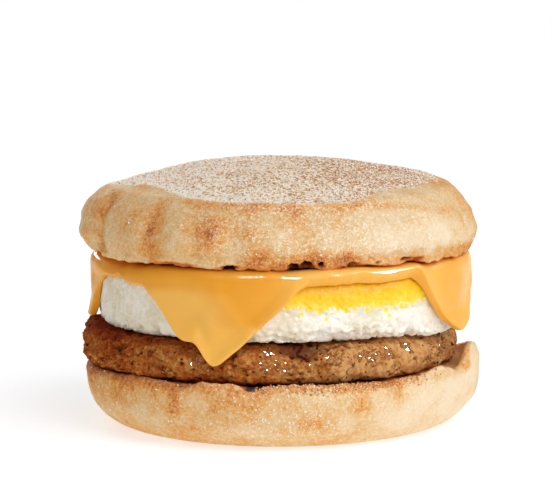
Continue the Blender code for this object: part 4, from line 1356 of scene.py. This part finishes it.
class SausageLook(bpy.types.PropertyGroup):
    """Colours of the sausage patty."""

    dark: colour_property("Seared meat", "Darkest fried meat", "#6A2006")
    brown: colour_property("Brown meat", "Fried meat", "#984812")
    tan: colour_property("Tan meat", "Lighter fried meat", "#B97A38")
    pale: colour_property("Pale meat", "Meat and fat that browned least", "#D6A368")
    reddish: colour_property("Reddish meat", "Meat flushed round the pits", "#9A3A0A")
    # Painted shade in deep folds and pits
    crevice: colour_property("Crevices", "Deep folds and pits", "#4A0E03")
    # Also the painted shade in small pits
    pepper_and_pit_shade: colour_property("Pepper", "Ground pepper", "#301608")
    bead_count: bpy.props.IntProperty(
        name="Beads of fat", description="Drops of fat on the side", default=1500, min=10, max=5000
    )
    bead_size: length_property("Bead size", "Half the width of a bead of fat", 0.35 * MM)


class EggLook(bpy.types.PropertyGroup):
    """Colours of the egg."""

    white: colour_property("Egg white", "Most of the set white", "#F7F1E3")
    white_shade: colour_property("Egg white shade", "Denser patches of the white", "#E9DDC2")
    yolk: colour_property("Yolk", "Most of the yolk", "#FBD32C")
    yolk_deep: colour_property("Deep yolk", "Densest yolk", "#F2B90A")
    yolk_light: colour_property("Light yolk", "Yolk with air in it", "#FDE76C")
    yolk_bubble: colour_property("Yolk bubbles", "The thin skin of a bubble in the yolk", "#FFF6B4")


class CheeseLook(bpy.types.PropertyGroup):
    """Colours of the melted cheese."""

    body: colour_property("Cheese", "Most of the slice", "#FBBD58")
    # Also the colour of the painted shade on the melt
    deep: colour_property("Deep cheese", "Where the melt is thick", "#F0A532")


class StageLook(bpy.types.PropertyGroup):
    """Light and viewpoint."""

    key_strength: bpy.props.FloatProperty(
        name="Key light", description="Soft light from the right", default=1.5, min=0
    )
    key_angle: bpy.props.FloatProperty(
        name="Key softness",
        description="How wide the key light looks",
        default=math.radians(50),
        subtype="ANGLE",
    )
    strip_power: power_property("Gloss light", "Strip that the cheese reflects", 26.0)
    rim_power: power_property("Rim light", "Strip at the back left that the cheese reflects", 2.0)
    glint_power: power_property("Glint light", "Small lamp that the cheese and yolk reflect", 11.0)
    fat_power: power_property("Spot on the fat", "Lamp on the beads of fat", 60.0)
    melt_power: power_property("Spot on the melt", "Strip at the right on the cheese", 150.0)
    room: bpy.props.FloatProperty(
        name="Room light", description="Light from the white room", default=0.36, min=0
    )
    warm_side: colour_property("Room's left side", "Warmer, as the key doesn't reach it", "#FFF6E8")
    floor: colour_property("Floor", "White acrylic that the sandwich stands on", "#C4C6CB")
    floor_glow: bpy.props.FloatProperty(
        name="Floor glow", description="Light through the floor", default=0.61, min=0
    )
    camera_distance: length_property("Camera distance", "From the camera to the sandwich", 0.6)
    camera_tilt: bpy.props.FloatProperty(
        name="Camera tilt",
        description="How far the camera looks down",
        default=math.radians(7.5),
        subtype="ANGLE",
    )


LOOKS = {
    "muffin_look": MuffinLook,
    "sausage_look": SausageLook,
    "egg_look": EggLook,
    "cheese_look": CheeseLook,
    "stage_look": StageLook,
}


# What is strewn on the layers


def semolina_on_crown(crown, look):
    """Grains that lie thick on the griddled face, and a few on the side."""
    _, radius, height = polar_of(points_of(crown), CROWN_AXIS)
    griddle = painted_on(crown, "griddle")
    chances = np.maximum(radius, 1 * MM) * (griddle + SIDE_GRAINS * ease(43 * MM, 46 * MM, height))
    # Only the griddled face has browned grains among the pale ones
    least_tone = np.where(griddle > 0.5, 0.12, 0.7)
    return scattered_grains(
        "crown_semolina", crown, chances, least_tone, look.grain_count, look.grain_size
    )


def semolina_on_heel(heel, look):
    """A few grains that fell on the heel's side in front."""
    azimuth, radius, height = polar_of(points_of(heel), HEEL_AXIS)
    chances = np.maximum(radius, 1 * MM) * ease(1 * MM, 3 * MM, height) * ease(44 * MM, 47 * MM, radius)
    chances *= 0.05 + bump_at(azimuth, 4, 16)
    count = look.grain_count // CROWN_GRAINS_FOR_ONE
    return scattered_grains("heel_semolina", heel, chances, 0.45, count, look.grain_size)


def crumbs_on_heel(heel, look):
    """Toasted crumbs along the torn rim at the front right."""
    azimuth, radius, height = polar_of(points_of(heel), HEEL_AXIS)
    level = height - 0.9 * heel_lip(azimuth)
    edge = ease(13.4 * MM, 15.2 * MM, level) * ease(44 * MM, 45.5 * MM, radius)
    edge *= bump_at(azimuth, 22, 18) * ease(58, 44, azimuth)
    size = CRUMB_SHARE * look.grain_size
    return scattered_grains("heel_crumbs", heel, edge, 0.2, look.crumb_count, size)


# The stage


def make_floor(look):
    """A light table: matt white acrylic lit a little from beneath, so that it stays as white as paper."""
    mesh = bpy.data.meshes.new("floor")
    form = bmesh.new()
    bmesh.ops.create_grid(form, x_segments=1, y_segments=1, size=FLOOR_REACH)
    form.to_mesh(mesh)
    form.free()
    floor = placed("floor", mesh)
    shading = {
        "Base Color": linear(look.floor),
        "Roughness": 0.9,
        "Specular IOR Level": 0.1,
        "Emission Color": linear(PAPER_WHITE),
        "Emission Strength": look.floor_glow,
    }
    mesh.materials.append(new_material("lit_white_acrylic", shading)[0])


def make_room(look):
    """A white room that lights the sandwich softly, and stands behind it as plain white paper."""
    world = bpy.data.worlds.new("white_room")
    bpy.context.scene.world = world
    world.use_nodes = True
    tree = world.node_tree
    tree.nodes.clear()
    way = add(tree, "ShaderNodeTexCoord").outputs["Generated"]
    lean = add(tree, "ShaderNodeVectorMath", {0: way, 1: ROOM_LEAN}, operation="DOT_PRODUCT")
    lean = lean.outputs["Value"]
    rising = {0: lean, 1: look.room, 2: look.room}
    strength = add(tree, "ShaderNodeMath", rising, operation="MULTIPLY_ADD")
    right = add(tree, "ShaderNodeMapRange", {"Value": lean, "From Min": -0.35, "From Max": 0.35})
    tint = add(tree, "ShaderNodeValToRGB", {"Fac": right}, ((0.0, look.warm_side), (1.0, PAPER_WHITE)))
    room = add(tree, "ShaderNodeBackground", {"Color": tint, "Strength": strength})
    paper = add(tree, "ShaderNodeBackground", {"Color": linear(PAPER_WHITE), "Strength": 1.0})
    seen = add(tree, "ShaderNodeLightPath").outputs["Is Camera Ray"]
    both = add(tree, "ShaderNodeMixShader", {0: seen, 1: room.outputs[0], 2: paper.outputs[0]})
    add(tree, "ShaderNodeOutputWorld", {"Surface": both.outputs[0]})


def make_lights(look):
    """A soft key light from the right, and the lamps that fat, yolk and cheese reflect."""
    target = Vector(MIDDLE)
    data = bpy.data.lights.new("key_softbox", "SUN")
    data.energy = look.key_strength
    data.angle = look.key_angle
    key = placed("key_softbox", data)
    key.rotation_euler = Vector(KEY_FROM).to_track_quat("Z", "Y").to_euler()
    key.location = target + Vector(KEY_FROM)
    for name, place, size, setting, piece in LAMPS:
        data = bpy.data.lights.new(name, "AREA")
        data.shape = "RECTANGLE"
        data.size, data.size_y = size
        data.energy = getattr(look, setting)
        lamp = placed(name, data)
        lamp.location = place
        lamp.rotation_euler = (target - lamp.location).to_track_quat("-Z", "Y").to_euler()
        lamp.visible_diffuse = False
        # Some shine on one piece alone, as a narrow spot on the set would
        if piece:
            lit = bpy.data.collections.new("lit_by_" + name)
            lit.objects.link(bpy.data.objects[piece])
            lamp.light_linking.receiver_collection = lit


def make_camera(look):
    """A long lens that looks down a little."""
    data = bpy.data.cameras.new("camera")
    data.lens = CAMERA_LENS
    data.sensor_width = CAMERA_SENSOR
    data.shift_x, data.shift_y = CAMERA_SHIFT
    data.clip_start = CAMERA_NEAR
    camera = placed("camera", data)
    away = Vector((0, -math.cos(look.camera_tilt), math.sin(look.camera_tilt)))
    camera.location = Vector(MIDDLE) + away * look.camera_distance
    camera.rotation_euler = (math.radians(90) - look.camera_tilt, 0, 0)
    bpy.context.scene.camera = camera


# Operators


class SANDWICH_OT_muffin(bpy.types.Operator):
    """Makes both halves of the muffin and the semolina on them"""

    bl_idname = "sandwich.muffin"
    bl_label = "Muffin halves"

    def execute(self, context):
        look = context.scene.muffin_look
        crust = toasted_muffin_crust(look)
        semolina_tones = (
            (0.0, look.griddle_brown),
            (0.2, look.griddle_tan),
            (0.45, look.flour),
            (1.0, look.semolina),
        )
        semolina = grain_material("milled_semolina", semolina_tones)
        crumb_tones = (
            (0.0, look.scorched),
            (0.35, look.toasted),
            (0.65, look.golden),
            (1.0, look.cream),
        )
        crumb = grain_material("toasted_crumbs", crumb_tones)
        crown = crown_form()
        dress(crown, crust, "toasted_muffin", "muffin_crown")
        heel = heel_form()
        dress(heel, crust, "toasted_muffin", "muffin_heel")
        dress(semolina_on_crown(crown, look), semolina, "toasted_muffin")
        dress(semolina_on_heel(heel, look), semolina, "toasted_muffin")
        dress(crumbs_on_heel(heel, look), crumb, "toasted_muffin")
        return {"FINISHED"}


class SANDWICH_OT_sausage(bpy.types.Operator):
    """Makes the sausage patty and the beads of fat on it"""

    bl_idname = "sandwich.sausage"
    bl_label = "Sausage patty"

    def execute(self, context):
        look = context.scene.sausage_look
        patty = patty_form()
        dress(patty, browned_pork_sausage(look), "pork_sausage", "sausage_patty")
        fat = grain_material("beads_of_fried_fat", ((0.0, look.dark), (1.0, look.tan)), 0.03, 0.5)
        wet = painted_on(patty, "wet")
        beads = scattered_grains("sausage_fat", patty, wet, 0.3, look.bead_count, look.bead_size)
        # Flat faces glint one by one, as wet shreds of fat do, and their glints don't light the meat
        beads.data.shade_flat()
        beads.visible_diffuse = False
        dress(beads, fat, "pork_sausage")
        return {"FINISHED"}


class SANDWICH_OT_egg(bpy.types.Operator):
    """Makes the egg white and the yolk set into it"""

    bl_idname = "sandwich.egg"
    bl_label = "Egg"

    def execute(self, context):
        look = context.scene.egg_look
        white = egg_form("egg_white_set")
        yolk = egg_form("egg_yolk_set")
        cut_with(yolk, "INTERSECT", yolk_pool(0))
        cut_with(white, "DIFFERENCE", yolk_pool(POOL_GAP))
        for piece in (white, yolk):
            piece.data.set_sharp_from_angle(angle=math.radians(SHARP_FROM))
            paint_egg(piece)
        dress(white, steamed_egg_white(look), "egg_white", "egg_white")
        dress(yolk, cooked_egg_yolk(look), "egg_yolk", "egg_yolk")
        if min(len(white.data.polygons), len(yolk.data.polygons)) < LEAST_EGG_FACES:
            raise RuntimeError("the egg lost its surface in the cut")
        return {"FINISHED"}


class SANDWICH_OT_cheese(bpy.types.Operator):
    """Makes the melted cheese slice"""

    bl_idname = "sandwich.cheese"
    bl_label = "Cheese slice"

    def execute(self, context):
        cheese = cheese_form()
        dress(cheese, melted_cheese(context.scene.cheese_look), "melted_cheese", "cheese_slice")
        return {"FINISHED"}


class SANDWICH_OT_stage(bpy.types.Operator):
    """Makes the floor, the lights, the room and the camera"""

    bl_idname = "sandwich.stage"
    bl_label = "Stage"

    def execute(self, context):
        look = context.scene.stage_look
        context.scene.view_settings.view_transform = "Standard"
        for make in (make_floor, make_room, make_lights, make_camera):
            make(look)
        return {"FINISHED"}


class SANDWICH_PT_layers(bpy.types.Panel):
    """Lists the sandwich's settings and what makes each layer"""

    bl_idname = "SANDWICH_PT_layers"
    bl_label = "Breakfast sandwich"
    bl_space_type = "VIEW_3D"
    bl_region_type = "UI"
    bl_category = "Sandwich"

    def draw(self, context):
        for operator, look in STEPS:
            box = self.layout.box()
            settings = getattr(context.scene, look)
            for name in LOOKS[look].__annotations__:
                box.prop(settings, name)
            box.operator(operator.bl_idname)


STEPS = (
    (SANDWICH_OT_muffin, "muffin_look"),
    (SANDWICH_OT_sausage, "sausage_look"),
    (SANDWICH_OT_egg, "egg_look"),
    (SANDWICH_OT_cheese, "cheese_look"),
    (SANDWICH_OT_stage, "stage_look"),
)


def register():
    """Makes the settings, the operators and the panel known to Blender."""
    for name, look in LOOKS.items():
        bpy.utils.register_class(look)
        setattr(bpy.types.Scene, name, bpy.props.PointerProperty(type=look))
    for operator, _ in STEPS:
        bpy.utils.register_class(operator)
    bpy.utils.register_class(SANDWICH_PT_layers)


def unregister():
    """Takes them away again."""
    bpy.utils.unregister_class(SANDWICH_PT_layers)
    for operator, _ in reversed(STEPS):
        bpy.utils.unregister_class(operator)
    for name, look in LOOKS.items():
        delattr(bpy.types.Scene, name)
        bpy.utils.unregister_class(look)


def main():
    """Builds every layer and the stage."""
    register()
    bpy.ops.sandwich.muffin()
    bpy.ops.sandwich.sausage()
    bpy.ops.sandwich.egg()
    bpy.ops.sandwich.cheese()
    bpy.ops.sandwich.stage()


if __name__ == "__main__":
    main()
